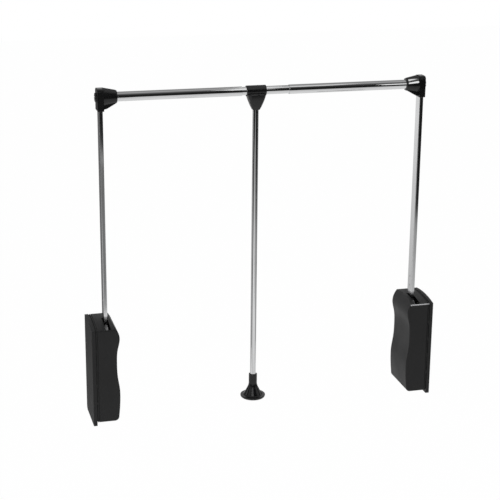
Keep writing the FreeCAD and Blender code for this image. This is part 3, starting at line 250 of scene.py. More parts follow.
def moulded(name, colour, sheen_colour, rough, grain_scale, grain_deep, gloss=0.5):
    """Moulded or painted surface: spark-eroded grain, slight patchiness in tone and gloss."""
    material, tree, shader = new_material(name)
    patches = noise(tree, PATCH_SCALE, 3.0)
    grain = noise(tree, grain_scale, 2.0, 0.6)
    tone = ranged(tree, patches, 0.0, 1.0, *NOISE_SPAN)
    tree.links.new(mixed(tree, tone, colour, sheen_colour), shader.inputs["Base Color"])
    tree.links.new(ranged(tree, patches, *rough, *NOISE_SPAN), shader.inputs["Roughness"])
    shader.inputs["Specular IOR Level"].default_value = gloss
    bumped(tree, shader, grain, grain_deep)
    return material


def painted_ridge_highlight(material):
    """Paints a pale highlight along the housing's top front ridge, in place of the lamps' reflection on
    its rounded edge.
    """
    tree = material.node_tree
    colour = tree.nodes["Principled BSDF"].inputs["Base Color"]
    axes = object_axes(tree)
    high = ranged(tree, axes["Z"], 0.0, 1.0, RIDGE_Z, RIDGE_Z + RIDGE_FADE)
    front = ranged(tree, axes["Y"], 1.0, 0.0, RIDGE_Y - RIDGE_FADE, RIDGE_Y)
    highlight_mask = maths(tree, "MULTIPLY", high, front)
    tree.links.new(mixed(tree, highlight_mask, colour.links[0].from_socket, RIDGE_HIGHLIGHT_COLOUR), colour)
    return material


def polished(name, colour, dull_colour, rough, streak):
    """Plated metal: mirror-bright, with faint polishing streaks along the piece."""
    material, tree, shader = new_material(name)
    shader.inputs["Metallic"].default_value = 1.0
    smear = noise(tree, SMEAR_SCALE, 3.0)
    streaks = noise(tree, STREAK_SCALE, 3.0, 0.6, streak)
    tone = ranged(tree, smear, 0.0, 1.0, *SMEAR_SPAN)
    tree.links.new(mixed(tree, tone, colour, dull_colour), shader.inputs["Base Color"])
    tree.links.new(ranged(tree, streaks, *rough, *NOISE_SPAN), shader.inputs["Roughness"])
    bumped(tree, shader, streaks, STREAK_DEEP)
    return material


FINISHES = {
    "housing_plastic": moulded("housing_plastic", **HOUSING_FINISH),
    "fitting_plastic": moulded("fitting_plastic", (0.004, 0.004, 0.0043), (0.006, 0.006, 0.0063),
                               rough=(0.18, 0.27), grain_scale=900.0, grain_deep=0.01 * MM),
    # housing finish with a painted highlight along its ridge
    "ridge_highlight_plastic": painted_ridge_highlight(moulded("ridge_highlight_plastic", **HOUSING_FINISH)),
    "chrome": polished("chrome", (0.86, 0.865, 0.87), (0.80, 0.805, 0.81),
                       rough=(0.045, 0.085), streak=(1.0, 1.0, 0.02)),
    "bright_steel": polished("bright_steel", (0.72, 0.72, 0.73), (0.60, 0.60, 0.61),
                             rough=(0.18, 0.30), streak=(1.0, 0.1, 0.1)),
    "zinc_steel": polished("zinc_steel", (0.62, 0.63, 0.66), (0.52, 0.52, 0.50),
                           rough=(0.28, 0.42), streak=(1.0, 0.2, 0.2)),
    "spring_steel": polished("spring_steel", (0.33, 0.33, 0.35), (0.22, 0.22, 0.23),
                             rough=(0.25, 0.40), streak=(0.2, 0.2, 1.0)),
    "damper_paint": moulded("damper_paint", (0.026, 0.026, 0.028), (0.034, 0.034, 0.036),
                            rough=(0.20, 0.30), grain_scale=500.0, grain_deep=0.02 * MM),
    "rubber": moulded("rubber", (0.018, 0.018, 0.018), (0.026, 0.026, 0.026),
                      rough=(0.75, 0.88), grain_scale=1200.0, grain_deep=0.05 * MM),
    "nylon": moulded("nylon", (0.72, 0.71, 0.67), (0.77, 0.76, 0.72),
                     rough=(0.35, 0.45), grain_scale=700.0, grain_deep=0.02 * MM),
    "dark_screw": polished("dark_screw", (0.045, 0.045, 0.047), (0.03, 0.03, 0.031),
                           rough=(0.3, 0.42), streak=(1.0, 1.0, 1.0)),
}

# the frame's pieces come with slots that are named for these finishes
for node in nodes.values():
    for i, old in enumerate(node.data.materials):
        node.data.materials[i] = FINISHES[old.name.split(".")[0]]
# the right housing's cover gets the painted ridge highlight
nodes["right_housing_cover"].data.materials[0] = FINISHES["ridge_highlight_plastic"]


# ---- pieces: sizes ----

STEPS = 96                  # facets round a turned piece
BORE_STEPS = 48             # facets round a small bore
CORNER_STEPS = 4            # facets of a turned piece's rounded corner
BAR_WALL = 1.1 * MM
INNER_BAR_WALL = 1.2 * MM
HANDLE_WALL = 1.0 * MM
LIP_ROUND = 0.35 * MM       # rounding of the tubes' cut ends
ARM_WALL = 1.2 * MM
ARM_CORNER = 1.5 * MM
FIT = 0.15 * MM             # clearance between a tube and its socket
HANDLE_FIT = 0.075 * MM     # the same round the handle, which is a tighter fit
PIP_HOLE_R = 1.6 * MM
PIP_HOLE_BACK = 4.0 * MM    # top of the plug down to its locking pip
RIVET_DOME = 0.5 * MM
DOME_STEPS = 32             # facets round a rivet's dome
RIVET_SPREAD = 1.5          # dome's radius in rivet radii

# corner connector
KNUCKLE_WALL = 3.0 * MM     # arm to the knuckle's inner face
KNUCKLE_OUTER_WALL = 4.0 * MM
KNUCKLE_SIDE_WALL = 3.5 * MM
KNUCKLE_TOP = 23.0 * MM
KNUCKLE_TOP_ROUND = 9.0 * MM
KNUCKLE_ROUND = 2.0 * MM
KNUCKLE_FOOT_ROUND = 0.7 * MM
SLEEVE_ROOT_HIGH = 24.5 * MM
SLEEVE_ROOT_DEEP = 18.4 * MM
SLEEVE_MOUTH_R = 16.8 * MM
SLEEVE_ROOT = 1.0 * MM      # straight start of the sleeve, let into the knuckle
SLEEVE_ROOT_ROUND = 0.6 * MM
COLLAR_LENGTH = 2.6 * MM    # straight collar at the sleeve's mouth
COLLAR_STEP = 0.5 * MM      # collar lies this far below the sleeve's cone
COLLAR_ROUND = 0.8 * MM
COLLAR_EDGE_ROUND = 0.2 * MM
WEB_HALF = 10.0 * MM
WEB_ROUND = 1.4 * MM
WEB_TIP = (-2.0 * MM, -15.5 * MM)     # from the sleeve's mouth, and down from the bar's axis
WEB_BEND = (9.0 * MM, -29.5 * MM)     # from the knuckle's inner face, and down
WEB_ROOT_Z = -32.0 * MM
WEB_TOP_Z = -0.15 * MM      # web's top, hidden inside the sleeve
STOP_WALL = 3.5 * MM        # knuckle's outer face to the bore for the bar
CAP_R = 12.0 * MM
CAP_THICK = 3.8 * MM
CAP_SLOT = 2.4 * MM
CAP_SLOT_DEEP = 2.0 * MM
CAP_ROUND = 1.2 * MM
CAP_SPIGOT_R = 6.0 * MM
CAP_SPIGOT = 3.3 * MM
SCREW_POCKET_R = 3.4 * MM
SCREW_POCKET_Y = 16.6 * MM
SCREW_POCKET_PAST = 5.0 * MM          # cutter behind the connector's rear face
ARM_SCREW_Z = -25.0 * MM
BAR_SCREW_BACK = 17.0 * MM

# lift spring
SPRING_TURNS = 14
SPRING_WIRE_R = 1.25 * MM
TURN_STEPS = 24             # facets round one turn of the coil
WIRE_STEPS = 12             # facets round the wire

# bright chrome plate on the right connector's sleeve: a painted highlight, put where the glossy sleeve
# reflects two strip lights
PLATE_START = 4.0 * MM      # sleeve's mouth to the plate
PLATE_LENGTH = 28.5 * MM
PLATE_LOW = 8.0             # degrees round the sleeve, up from its foremost line
PLATE_HIGH = (57.0, 41.0)   # the same at the mouth's end and at the arm's end
PLATE_PROUD = 0.2 * MM      # plate's face in front of the sleeve
PLATE_THICK = 0.8 * MM
PLATE_CORNER = 0.06         # rounded corner, as a share of the plate's sides
PLATE_GRID = (10, 24)       # facets along the sleeve and round it

# pull handle's hub
HUB_R = 14.2 * MM
HUB_END_ROUND = 0.9 * MM
HUB_LIP = 2.0 * MM
HUB_LIP_R = 11.5 * MM
HUB_BORE_R = 12.56 * MM
HUB_GROOVE = (3.2 * MM, 4.3 * MM)     # moulded line round the hub: its two edges, from the middle
HUB_GROOVE_DEEP = 0.35 * MM
HUB_SEAM = 0.12 * MM        # half of the shadow gap between the two shells
SHIELD_WIDE = (24.5 * MM, 18.0 * MM, 9.4 * MM)      # half width at shoulder, bulge and foot
SHIELD_DEEP = (19.0 * MM, 16.2 * MM, 9.4 * MM)      # half depth at the same heights
SHIELD_HEIGHTS = (-9.5 * MM, -30.0 * MM, -50.0 * MM)
SHIELD_LEDGE = (12.3 * MM, -5.0 * MM)               # half depth and height of the shoulder's inner edge
SHIELD_CORNER = 3.4 * MM    # upright corners at the foot; they widen with the shield
SHIELD_LAYERS = 18
SHIELD_NOTCH_R = 1.8 * MM   # draining notch in the shoulder's front edge
SHIELD_NOTCH_DEEP = 2.0 * MM
HUB_SCREW_POCKET_R = 3.0 * MM
HUB_SCREW_SEAT_Y = 10.0 * MM
HUB_SCREW_SIDE = 14.0 * MM
HUB_SCREW_Z = -21.0 * MM
HUB_LOWER_SCREW_Z = -37.0 * MM

# knob
KNOB_SOCKET_R = 11.5 * MM
KNOB_CONE = 36.0 * MM       # knob's base up to the socket's foot
KNOB_CONE_R = 25.5 * MM     # cone where it meets the rim
KNOB_CONE_ROUND = 3.0 * MM
KNOB_RIM = 7.5 * MM
KNOB_TOP_ROUND = 1.2 * MM
KNOB_FOOT_ROUND = 5.0 * MM
KNOB_NECK_ROUND = 6.0 * MM  # soft bend from socket to cone
KNOB_RECESS_R = 24.0 * MM
KNOB_RECESS = 4.0 * MM
KNOB_SCREW_R = 2.1 * MM
KNOB_MOUTH_ROUND = 0.5 * MM

WELD = 0.001 * MM           # corners nearer than this are one
NEAR = 0.15 * MM            # an edge nearer to a face than this belongs to it
PAST = 1.0 * MM             # cutter's reach beyond what it cuts
SHARP_ANGLE = 33.0          # degrees between faces, above which their edge stays sharp
FLAT_ANGLE = 10.0           # degrees, below which an edge counts as flat

X_AXIS = Vector((1, 0, 0))
Y_AXIS = Vector((0, 1, 0))
Z_AXIS = Vector((0, 0, 1))
ORIGIN = Vector((0, 0, 0))


# ---- pieces: tools ----

def finished(name, bm, body, slot, *stands_for):
    """Make the closed mesh a smooth-shaded piece, faces outwards, that rides on its body."""
    bmesh.ops.recalc_face_normals(bm, faces=bm.faces)
    if bm.calc_volume(signed=True) < 0:
        bmesh.ops.reverse_faces(bm, faces=bm.faces)
    mesh = bpy.data.meshes.new(name)
    bm.to_mesh(mesh)
    bm.free()
    mesh.shade_smooth()
    mesh.set_sharp_from_angle(angle=math.radians(SHARP_ANGLE))
    mesh.materials.append(FINISHES[slot])
    piece = bpy.data.objects.new(name, mesh)
    bpy.context.scene.collection.objects.link(piece)
    even = piece.modifiers.new("even_shading", "WEIGHTED_NORMAL")
    even.keep_sharp = True
    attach(piece, body)
    if stands_for:
        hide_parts(*stands_for)
    return piece


def bevelled(bm, edges, radius, segments=3):
    """Round the edges."""
    bmesh.ops.bevel(bm, geom=list(edges), offset=radius, offset_type="OFFSET", segments=segments,
                    profile=0.5, affect="EDGES", clamp_overlap=True, material=-1)


def corners_rounded(bm, corners, radius, segments):
    """Round the corners of a flat outline."""
    bmesh.ops.bevel(bm, geom=list(corners), offset=radius, offset_type="OFFSET", segments=segments,
                    profile=0.5, affect="VERTICES", material=-1)


def grown_verts(grown):
    """Corners among what an extrusion has made."""
    return [part for part in grown if isinstance(part, bmesh.types.BMVert)]


def turned(profile, axis, centre=ORIGIN):
    """Solid of a closed outline of (along, radius, rounding) corners, spun round the X or Z axis."""
    bm = bmesh.new()
    corners = [bm.verts.new(centre + axis * along + Y_AXIS * radius) for along, radius, _ in profile]
    bm.faces.new(corners)
    for rounding in sorted({entry[2] for entry in profile if entry[2]}):
        chosen = [corner for corner, entry in zip(corners, profile) if entry[2] == rounding]
        corners_rounded(bm, chosen, rounding, segments=CORNER_STEPS)
    bmesh.ops.delete(bm, geom=bm.faces[:], context="FACES_ONLY")
    bmesh.ops.spin(bm, geom=bm.verts[:] + bm.edges[:], cent=centre, axis=axis, angle=math.tau,
                   steps=STEPS, use_merge=True)
    bmesh.ops.remove_doubles(bm, verts=bm.verts, dist=WELD)
    loose = [edge for edge in bm.edges if not edge.link_faces]
    bmesh.ops.delete(bm, geom=loose, context="EDGES")
    bmesh.ops.recalc_face_normals(bm, faces=bm.faces)
    return bm


def block(lo, hi):
    """Square block between two opposite corners."""
    bm = bmesh.new()
    bmesh.ops.create_cube(bm, size=1.0)
    bmesh.ops.scale(bm, vec=Vector(hi) - Vector(lo), verts=bm.verts)
    bmesh.ops.translate(bm, vec=(Vector(lo) + Vector(hi)) / 2, verts=bm.verts)
    return bm


def plain_cylinder(radius, start, end, segments=BORE_STEPS):
    """Closed cylinder between two points."""
    start = Vector(start)
    end = Vector(end)
    turn = (end - start).to_track_quat("Z", "Y").to_matrix().to_4x4()
    bm = bmesh.new()
    bmesh.ops.create_cone(bm, cap_ends=True, segments=segments, radius1=radius, radius2=radius,
                          depth=(end - start).length,
                          matrix=Matrix.Translation((start + end) / 2) @ turn)
    return bm


def scratch_object(bm):
    """Short-lived object that a boolean can work on."""
    mesh = bpy.data.meshes.new("scratch")
    bm.to_mesh(mesh)
    bm.free()
    holder = bpy.data.objects.new("scratch", mesh)
    bpy.context.scene.collection.objects.link(holder)
    return holder


def combined(first, operation, *others):
    """Join closed meshes, or cut the others out of the first one."""
    base = scratch_object(first)
    tools = [scratch_object(other) for other in others]
    for tool in tools:
        step = base.modifiers.new("step", "BOOLEAN")
        step.operation = operation
        step.solver = "EXACT"
        step.object = tool
    bpy.context.view_layer.update()
    result = bmesh.new()
    result.from_mesh(base.evaluated_get(bpy.context.evaluated_depsgraph_get()).to_mesh())
    for used in [base] + tools:
        mesh = used.data
        bpy.data.objects.remove(used)
        bpy.data.meshes.remove(mesh)
    bmesh.ops.remove_doubles(result, verts=result.verts, dist=WELD)
    bmesh.ops.dissolve_degenerate(result, edges=result.edges, dist=WELD)
    return result


def mirrored(bm):
    """Turn a left piece into a right one."""
    bmesh.ops.scale(bm, vec=(-1, 1, 1), verts=bm.verts)
    bmesh.ops.reverse_faces(bm, faces=bm.faces)
    return bm


def arc_through(first, middle, last, count):
    """Points on the circle through three points, ends included."""
    a, b, c = Vector(first), Vector(middle), Vector(last)
    cross = (b - a).cross(c - a)
    to_b = b.length_squared - a.length_squared
    to_c = c.length_squared - a.length_squared
    centre = Vector((to_b * (c.y - a.y) - to_c * (b.y - a.y),
                     to_c * (b.x - a.x) - to_b * (c.x - a.x))) / (2 * cross)
    start = math.atan2(a.y - centre.y, a.x - centre.x)
    sweep = (math.atan2(c.y - centre.y, c.x - centre.x) - start + math.pi) % math.tau - math.pi
    radius = (a - centre).length
    return [centre + radius * Vector((math.cos(start + sweep * i / (count - 1)),
                                      math.sin(start + sweep * i / (count - 1))))
            for i in range(count)]


# ---- pieces: tubes ----

def round_tube(node, body, axis, wall):
    """Drawn tube with softly rounded cut ends."""
    lo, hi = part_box(node)
    centre = (lo + hi) / 2
    half = (hi - lo).dot(axis) / 2
    radius = (hi.y - lo.y) / 2
    profile = [(-half, radius - wall, LIP_ROUND), (half, radius - wall, LIP_ROUND),
               (half, radius, LIP_ROUND), (-half, radius, LIP_ROUND)]
    bm = turned(profile, axis, centre)
    if node == "handle_tube":
        pip_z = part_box("tube_plug")[1].z - PIP_HOLE_BACK
        bm = combined(bm, "DIFFERENCE", plain_cylinder(PIP_HOLE_R, (centre.x, -2 * radius, pip_z),
                                                       (centre.x, 0, pip_z)))
    finished(node + "_drawn", bm, body, "chrome", node)


round_tube("left_outer_tube", "left_arm", X_AXIS, BAR_WALL)
round_tube("right_outer_tube", "right_arm", X_AXIS, BAR_WALL)
round_tube("inner_tube", "inner_bar", X_AXIS, INNER_BAR_WALL)
round_tube("handle_tube", "pull_handle", Z_AXIS, HANDLE_WALL)


def flat_arm(side):
    """Rectangular tube: rounded edges, open ends."""
    node = side + "_lift_arm"
    lo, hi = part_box(node)
    bm = bmesh.new()
    bmesh.ops.create_grid(bm, x_segments=1, y_segments=1, size=0.5)
    bmesh.ops.scale(bm, vec=(hi.x - lo.x, hi.y - lo.y, 1), verts=bm.verts)
    corners_rounded(bm, bm.verts, ARM_CORNER, segments=6)
    ring = bmesh.ops.inset_region(bm, faces=bm.faces[:], thickness=ARM_WALL, use_boundary=True,
                                  use_even_offset=True)["faces"]
    bmesh.ops.delete(bm, geom=[face for face in bm.faces if face not in ring], context="FACES_ONLY")
    bmesh.ops.translate(bm, vec=((lo.x + hi.x) / 2, (lo.y + hi.y) / 2, lo.z), verts=bm.verts)
    grown = bmesh.ops.extrude_face_region(bm, geom=bm.faces[:], use_keep_orig=True)["geom"]
    bmesh.ops.translate(bm, vec=(0, 0, hi.z - lo.z), verts=grown_verts(grown))
    finished(node + "_drawn", bm, side + "_arm", "chrome", node)


def domed_rivets(side):
    """Low domes of the arm's two rivets, on both of its faces."""
    node = side + "_arm_rivets"
    lo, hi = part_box(node)
    radius = (hi.y - lo.y) / 2
    bm = bmesh.new()
    for z in (lo.z + radius, hi.z - radius):
        for x in (lo.x, hi.x):
            dome = bmesh.ops.create_uvsphere(bm, u_segments=DOME_STEPS, v_segments=DOME_STEPS // 2,
                                             radius=1.0)["verts"]
            bmesh.ops.scale(bm, vec=(RIVET_DOME, radius * RIVET_SPREAD, radius * RIVET_SPREAD), verts=dome)
            bmesh.ops.translate(bm, vec=(x, (lo.y + hi.y) / 2, z), verts=dome)
    finished(node + "_domed", bm, side + "_arm", "bright_steel", node)


for side in ("left", "right"):
    flat_arm(side)
    domed_rivets(side)


# ---- pieces: corner connectors ----

def connector_block(outer_x, inner_x, lo, hi):
    """Upright block for the arm: round on top, soft along its outer face and its foot."""
    bm = block((outer_x, lo.y, lo.z), (inner_x, hi.y, hi.z))
    top = [edge for edge in bm.edges
           if all(vert.co.z > 0 for vert in edge.verts)
           and abs(edge.verts[0].co.x - edge.verts[1].co.x) > NEAR]
    bevelled(bm, top, KNUCKLE_TOP_ROUND, segments=10)
    outer = [edge for edge in bm.edges if all(vert.co.x < outer_x + NEAR for vert in edge.verts)]
    bevelled(bm, outer, KNUCKLE_ROUND, segments=4)
    foot = [edge for edge in bm.edges if all(vert.co.z < lo.z + NEAR for vert in edge.verts)]
    bevelled(bm, foot, KNUCKLE_FOOT_ROUND)
    return bm


def sleeve_radii(share):
    """Sleeve's half height and half depth, at a share of the way from its mouth to the knuckle."""
    high = SLEEVE_MOUTH_R + (SLEEVE_ROOT_HIGH - SLEEVE_MOUTH_R) * share
    deep = SLEEVE_MOUTH_R + (SLEEVE_ROOT_DEEP - SLEEVE_MOUTH_R) * share
    return high, deep


def connector_sleeve(inner_x, mouth_x):
    """Sleeve round the bar: oval at the knuckle, round at its mouth, with a short straight collar."""
    collar_x = mouth_x - COLLAR_LENGTH
    cone_high, cone_deep = sleeve_radii(COLLAR_LENGTH / (mouth_x - inner_x))
    collar_r = SLEEVE_MOUTH_R - COLLAR_STEP
    rings = [(inner_x - SLEEVE_ROOT, SLEEVE_ROOT_HIGH, SLEEVE_ROOT_DEEP),
             (inner_x, SLEEVE_ROOT_HIGH, SLEEVE_ROOT_DEEP), (collar_x, cone_high, cone_deep),
             (collar_x, collar_r, collar_r), (mouth_x, collar_r, collar_r)]
    bm = bmesh.new()
    loops = []
    for x, high, deep in rings:
        place = (Matrix.Translation((x, 0, 0)) @ Matrix.Rotation(math.pi / 2, 4, "Y")
                 @ Matrix.Diagonal((high, deep, 1, 1)))
        ring = bmesh.ops.create_circle(bm, segments=STEPS, radius=1.0, matrix=place,
                                       cap_ends=x in (rings[0][0], mouth_x))["verts"]
        loops.append([edge for edge in bm.edges if all(vert in ring for vert in edge.verts)])
    for first, second in zip(loops, loops[1:]):
        bmesh.ops.bridge_loops(bm, edges=first + second)
    bmesh.ops.recalc_face_normals(bm, faces=bm.faces)
    for rounding, loop in ((COLLAR_ROUND, loops[-1]), (COLLAR_EDGE_ROUND, loops[2]),
                           (SLEEVE_ROOT_ROUND, loops[0])):
        bevelled(bm, loop, rounding)
    return bm


def connector_web(inner_x, mouth_x):
    """Web under the sleeve, as a plate extruded across it."""
    outline = [(mouth_x + WEB_TIP[0], WEB_TOP_Z), (mouth_x + WEB_TIP[0], WEB_TIP[1]),
               (inner_x + WEB_BEND[0], WEB_BEND[1]), (inner_x - SLEEVE_ROOT, WEB_ROOT_Z),
               (inner_x - SLEEVE_ROOT, WEB_TOP_Z)]
    bm = bmesh.new()
    face = bm.faces.new([bm.verts.new((x, -WEB_HALF, z)) for x, z in outline])
    grown = bmesh.ops.extrude_face_region(bm, geom=[face], use_keep_orig=True)["geom"]
    bmesh.ops.translate(bm, vec=(0, 2 * WEB_HALF, 0), verts=grown_verts(grown))
    bmesh.ops.recalc_face_normals(bm, faces=bm.faces)
    low = [edge for edge in bm.edges
           if edge.calc_face_angle() > math.radians(FLAT_ANGLE)
           and all(vert.co.z < WEB_TOP_Z - NEAR for vert in edge.verts)]
    bevelled(bm, low, WEB_ROUND, segments=4)
    return bm


def screw_pockets(centres, reach_y):
    """Cutters for the screw pockets in the connector's back."""
    return [plain_cylinder(SCREW_POCKET_R, (x, SCREW_POCKET_Y, z), (x, reach_y, z)) for x, z in centres]


def left_connector():
    """Moulded elbow: arm socket, flared sleeve, web below, screw pockets at the back."""
    lo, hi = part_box("left_corner_connector")
    arm_lo, arm_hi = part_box("left_lift_arm")
    outer_x = arm_lo.x - KNUCKLE_OUTER_WALL
    inner_x = arm_hi.x + KNUCKLE_WALL
    mouth_x = hi.x
    depth = (arm_hi.y - arm_lo.y) / 2 + KNUCKLE_SIDE_WALL
    upright = connector_block(outer_x, inner_x, Vector((0, -depth, lo.z)), Vector((0, depth, KNUCKLE_TOP)))
    body = combined(upright, "UNION", connector_sleeve(inner_x, mouth_x), connector_web(inner_x, mouth_x))
    bar_r = (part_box("left_outer_tube")[1].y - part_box("left_outer_tube")[0].y) / 2
    arm_x = (arm_lo.x + arm_hi.x) / 2
    cutters = [plain_cylinder(bar_r + FIT, (outer_x + STOP_WALL, 0, 0), (mouth_x + PAST, 0, 0), STEPS),
               block((arm_lo.x - FIT, arm_lo.y - FIT, lo.z - PAST),
                     (arm_hi.x + FIT, arm_hi.y + FIT, arm_hi.z)),
               plain_cylinder(CAP_SPIGOT_R, (outer_x - PAST, 0, 0), (outer_x + STOP_WALL + PAST, 0, 0))]
    cutters += screw_pockets([(arm_x, ARM_SCREW_Z), (mouth_x - BAR_SCREW_BACK, 0)],
                             depth + SCREW_POCKET_PAST)
    return combined(body, "DIFFERENCE", *cutters)


def left_cap():
    """Round cap on the connector's outer face, with a screwdriver slot across it."""
    outer_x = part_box("left_lift_arm")[0].x - KNUCKLE_OUTER_WALL
    face_x = outer_x - CAP_THICK
    profile = [(face_x, 0, 0), (outer_x + CAP_SPIGOT, 0, 0), (outer_x + CAP_SPIGOT, CAP_SPIGOT_R - FIT, 0),
               (outer_x, CAP_SPIGOT_R - FIT, 0), (outer_x, CAP_R, 0), (face_x, CAP_R, CAP_ROUND)]
    slot = block((face_x - PAST, -2 * CAP_R, -CAP_SLOT / 2),
                 (face_x + CAP_SLOT_DEEP, 2 * CAP_R, CAP_SLOT / 2))
    return combined(turned(profile, X_AXIS), "DIFFERENCE", slot)


for side in ("left", "right"):
    connector = left_connector()
    cap = left_cap()
    if side == "right":
        mirrored(connector)
        mirrored(cap)
    finished(side + "_connector_moulded", connector, side + "_arm", "fitting_plastic",
             side + "_corner_connector")
    finished(side + "_cap_moulded", cap, side + "_arm", "fitting_plastic", side + "_connector_cap")


def sleeve_highlight_plate():
    """Thin bright plate that follows the right connector's oval sleeve, let a little into it: a painted
    highlight in place of the sleeve's reflection bands.
    """
    mouth_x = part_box("right_corner_connector")[0].x
    inner_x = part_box("right_lift_arm")[0].x - KNUCKLE_WALL
    bm = bmesh.new()
    bmesh.ops.create_grid(bm, x_segments=PLATE_GRID[0], y_segments=PLATE_GRID[1], size=0.5)
    corners = [vert for vert in bm.verts if len(vert.link_edges) == 2]
    corners_rounded(bm, corners, PLATE_CORNER, segments=3)
    for vert in bm.verts:
        along = vert.co.x + 0.5
        x = mouth_x + PLATE_START + along * PLATE_LENGTH
        highest = PLATE_HIGH[0] + along * (PLATE_HIGH[1] - PLATE_HIGH[0])
        angle = math.radians(PLATE_LOW + (vert.co.y + 0.5) * (highest - PLATE_LOW))
        high, deep = sleeve_radii((x - mouth_x) / (inner_x - mouth_x))
        vert.co = (x, -deep * math.cos(angle), high * math.sin(angle))
    bmesh.ops.recalc_face_normals(bm, faces=bm.faces)
    if sum(face.normal.y for face in bm.faces) > 0:
        bmesh.ops.reverse_faces(bm, faces=bm.faces)
    bmesh.ops.translate(bm, vec=(0, -PLATE_PROUD, 0), verts=bm.verts)
    bmesh.ops.solidify(bm, geom=bm.faces[:], thickness=PLATE_THICK)
    return bm


# chrome plate that stands as a painted highlight on the right sleeve
finished("right_sleeve_highlight_plate", sleeve_highlight_plate(), "right_arm", "chrome")


# ---- pieces: lift springs ----

def coil(lo, hi):
    """Wire wound up round an upright axis, from the foot of a box to its top."""
    coil_r = (hi.x - lo.x) / 2 - SPRING_WIRE_R
    rise = hi.z - lo.z - 2 * SPRING_WIRE_R
    steps = SPRING_TURNS * TURN_STEPS
    axis_foot = Vector(((lo.x + hi.x) / 2, (lo.y + hi.y) / 2, lo.z + SPRING_WIRE_R))
    wire_start = (Matrix.Translation(axis_foot + X_AXIS * coil_r)
                  @ Matrix.Rotation(math.pi / 2, 4, "X"))
    bm = bmesh.new()
    bmesh.ops.create_circle(bm, segments=WIRE_STEPS, radius=SPRING_WIRE_R, matrix=wire_start)
    bmesh.ops.spin(bm, geom=bm.verts[:] + bm.edges[:], cent=axis_foot, axis=Z_AXIS,
                   angle=math.tau * SPRING_TURNS, dvec=(0, 0, rise / steps), steps=steps)
    bmesh.ops.holes_fill(bm, edges=[edge for edge in bm.edges if len(edge.link_faces) == 1])
    return bm


def lift_spring(side):
    """Spring round the rod, from washer to seat; it rides on the crosshead slide, with a mesh of its own.
    """
    node = side + "_lift_spring"
    lo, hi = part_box(node)
    spring = finished(node + "_wound", coil(lo, hi), side + "_crosshead_slide", "spring_steel", node)
    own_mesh(spring)


for side in ("left", "right"):
    lift_spring(side)


# ---- pieces: pull handle ----

def width_at(outline, height):
    """Half width of an outline of (height, half width) points at one height."""
    for upper, lower in zip(outline, outline[1:]):
        if lower[0] <= height <= upper[0]:
            share = (height - lower[0]) / (upper[0] - lower[0])
            return lower[1] + (upper[1] - lower[1]) * share
    return outline[-1][1] if height < outline[-1][0] else outline[0][1]


def hub_shield(centre_x):
    """Shield grown upwards layer by layer from its foot, with a sloping shoulder."""
    top_z, foot_z = SHIELD_HEIGHTS[0], SHIELD_HEIGHTS[-1]
    front = arc_through(*zip(SHIELD_HEIGHTS, SHIELD_WIDE), SHIELD_LAYERS)
    flank = arc_through(*zip(SHIELD_HEIGHTS, SHIELD_DEEP), SHIELD_LAYERS)
    bm = bmesh.new()
    bmesh.ops.create_grid(bm, x_segments=1, y_segments=1, size=1.0)
    half_x, half_y = SHIELD_WIDE[-1], SHIELD_DEEP[-1]
    bmesh.ops.scale(bm, vec=(half_x, half_y, 1), verts=bm.verts)
    corners_rounded(bm, bm.verts, SHIELD_CORNER, segments=8)
    bmesh.ops.translate(bm, vec=(centre_x, 0, foot_z), verts=bm.verts)
    lid = bm.faces[:]
    levels = [foot_z + (top_z - foot_z) * i / SHIELD_LAYERS for i in range(1, SHIELD_LAYERS + 1)]
    steps = [(z, width_at(front, z), width_at(flank, z)) for z in levels]
    steps.append((SHIELD_LEDGE[1], SHIELD_WIDE[0], SHIELD_LEDGE[0]))
    z = foot_z
    for next_z, next_x, next_y in steps:
        grown = bmesh.ops.extrude_face_region(bm, geom=lid, use_keep_orig=True)["geom"]
        if z > foot_z:
            bmesh.ops.delete(bm, geom=lid, context="FACES_ONLY")
        lid = [part for part in grown if isinstance(part, bmesh.types.BMFace)]
        verts = grown_verts(grown)
        bmesh.ops.scale(bm, vec=(next_x / half_x, next_y / half_y, 1), verts=verts,
                        space=Matrix.Translation((-centre_x, 0, 0)))
        bmesh.ops.translate(bm, vec=(0, 0, next_z - z), verts=verts)
        z, half_x, half_y = next_z, next_x, next_y
    bmesh.ops.recalc_face_normals(bm, faces=bm.faces)
    return bm


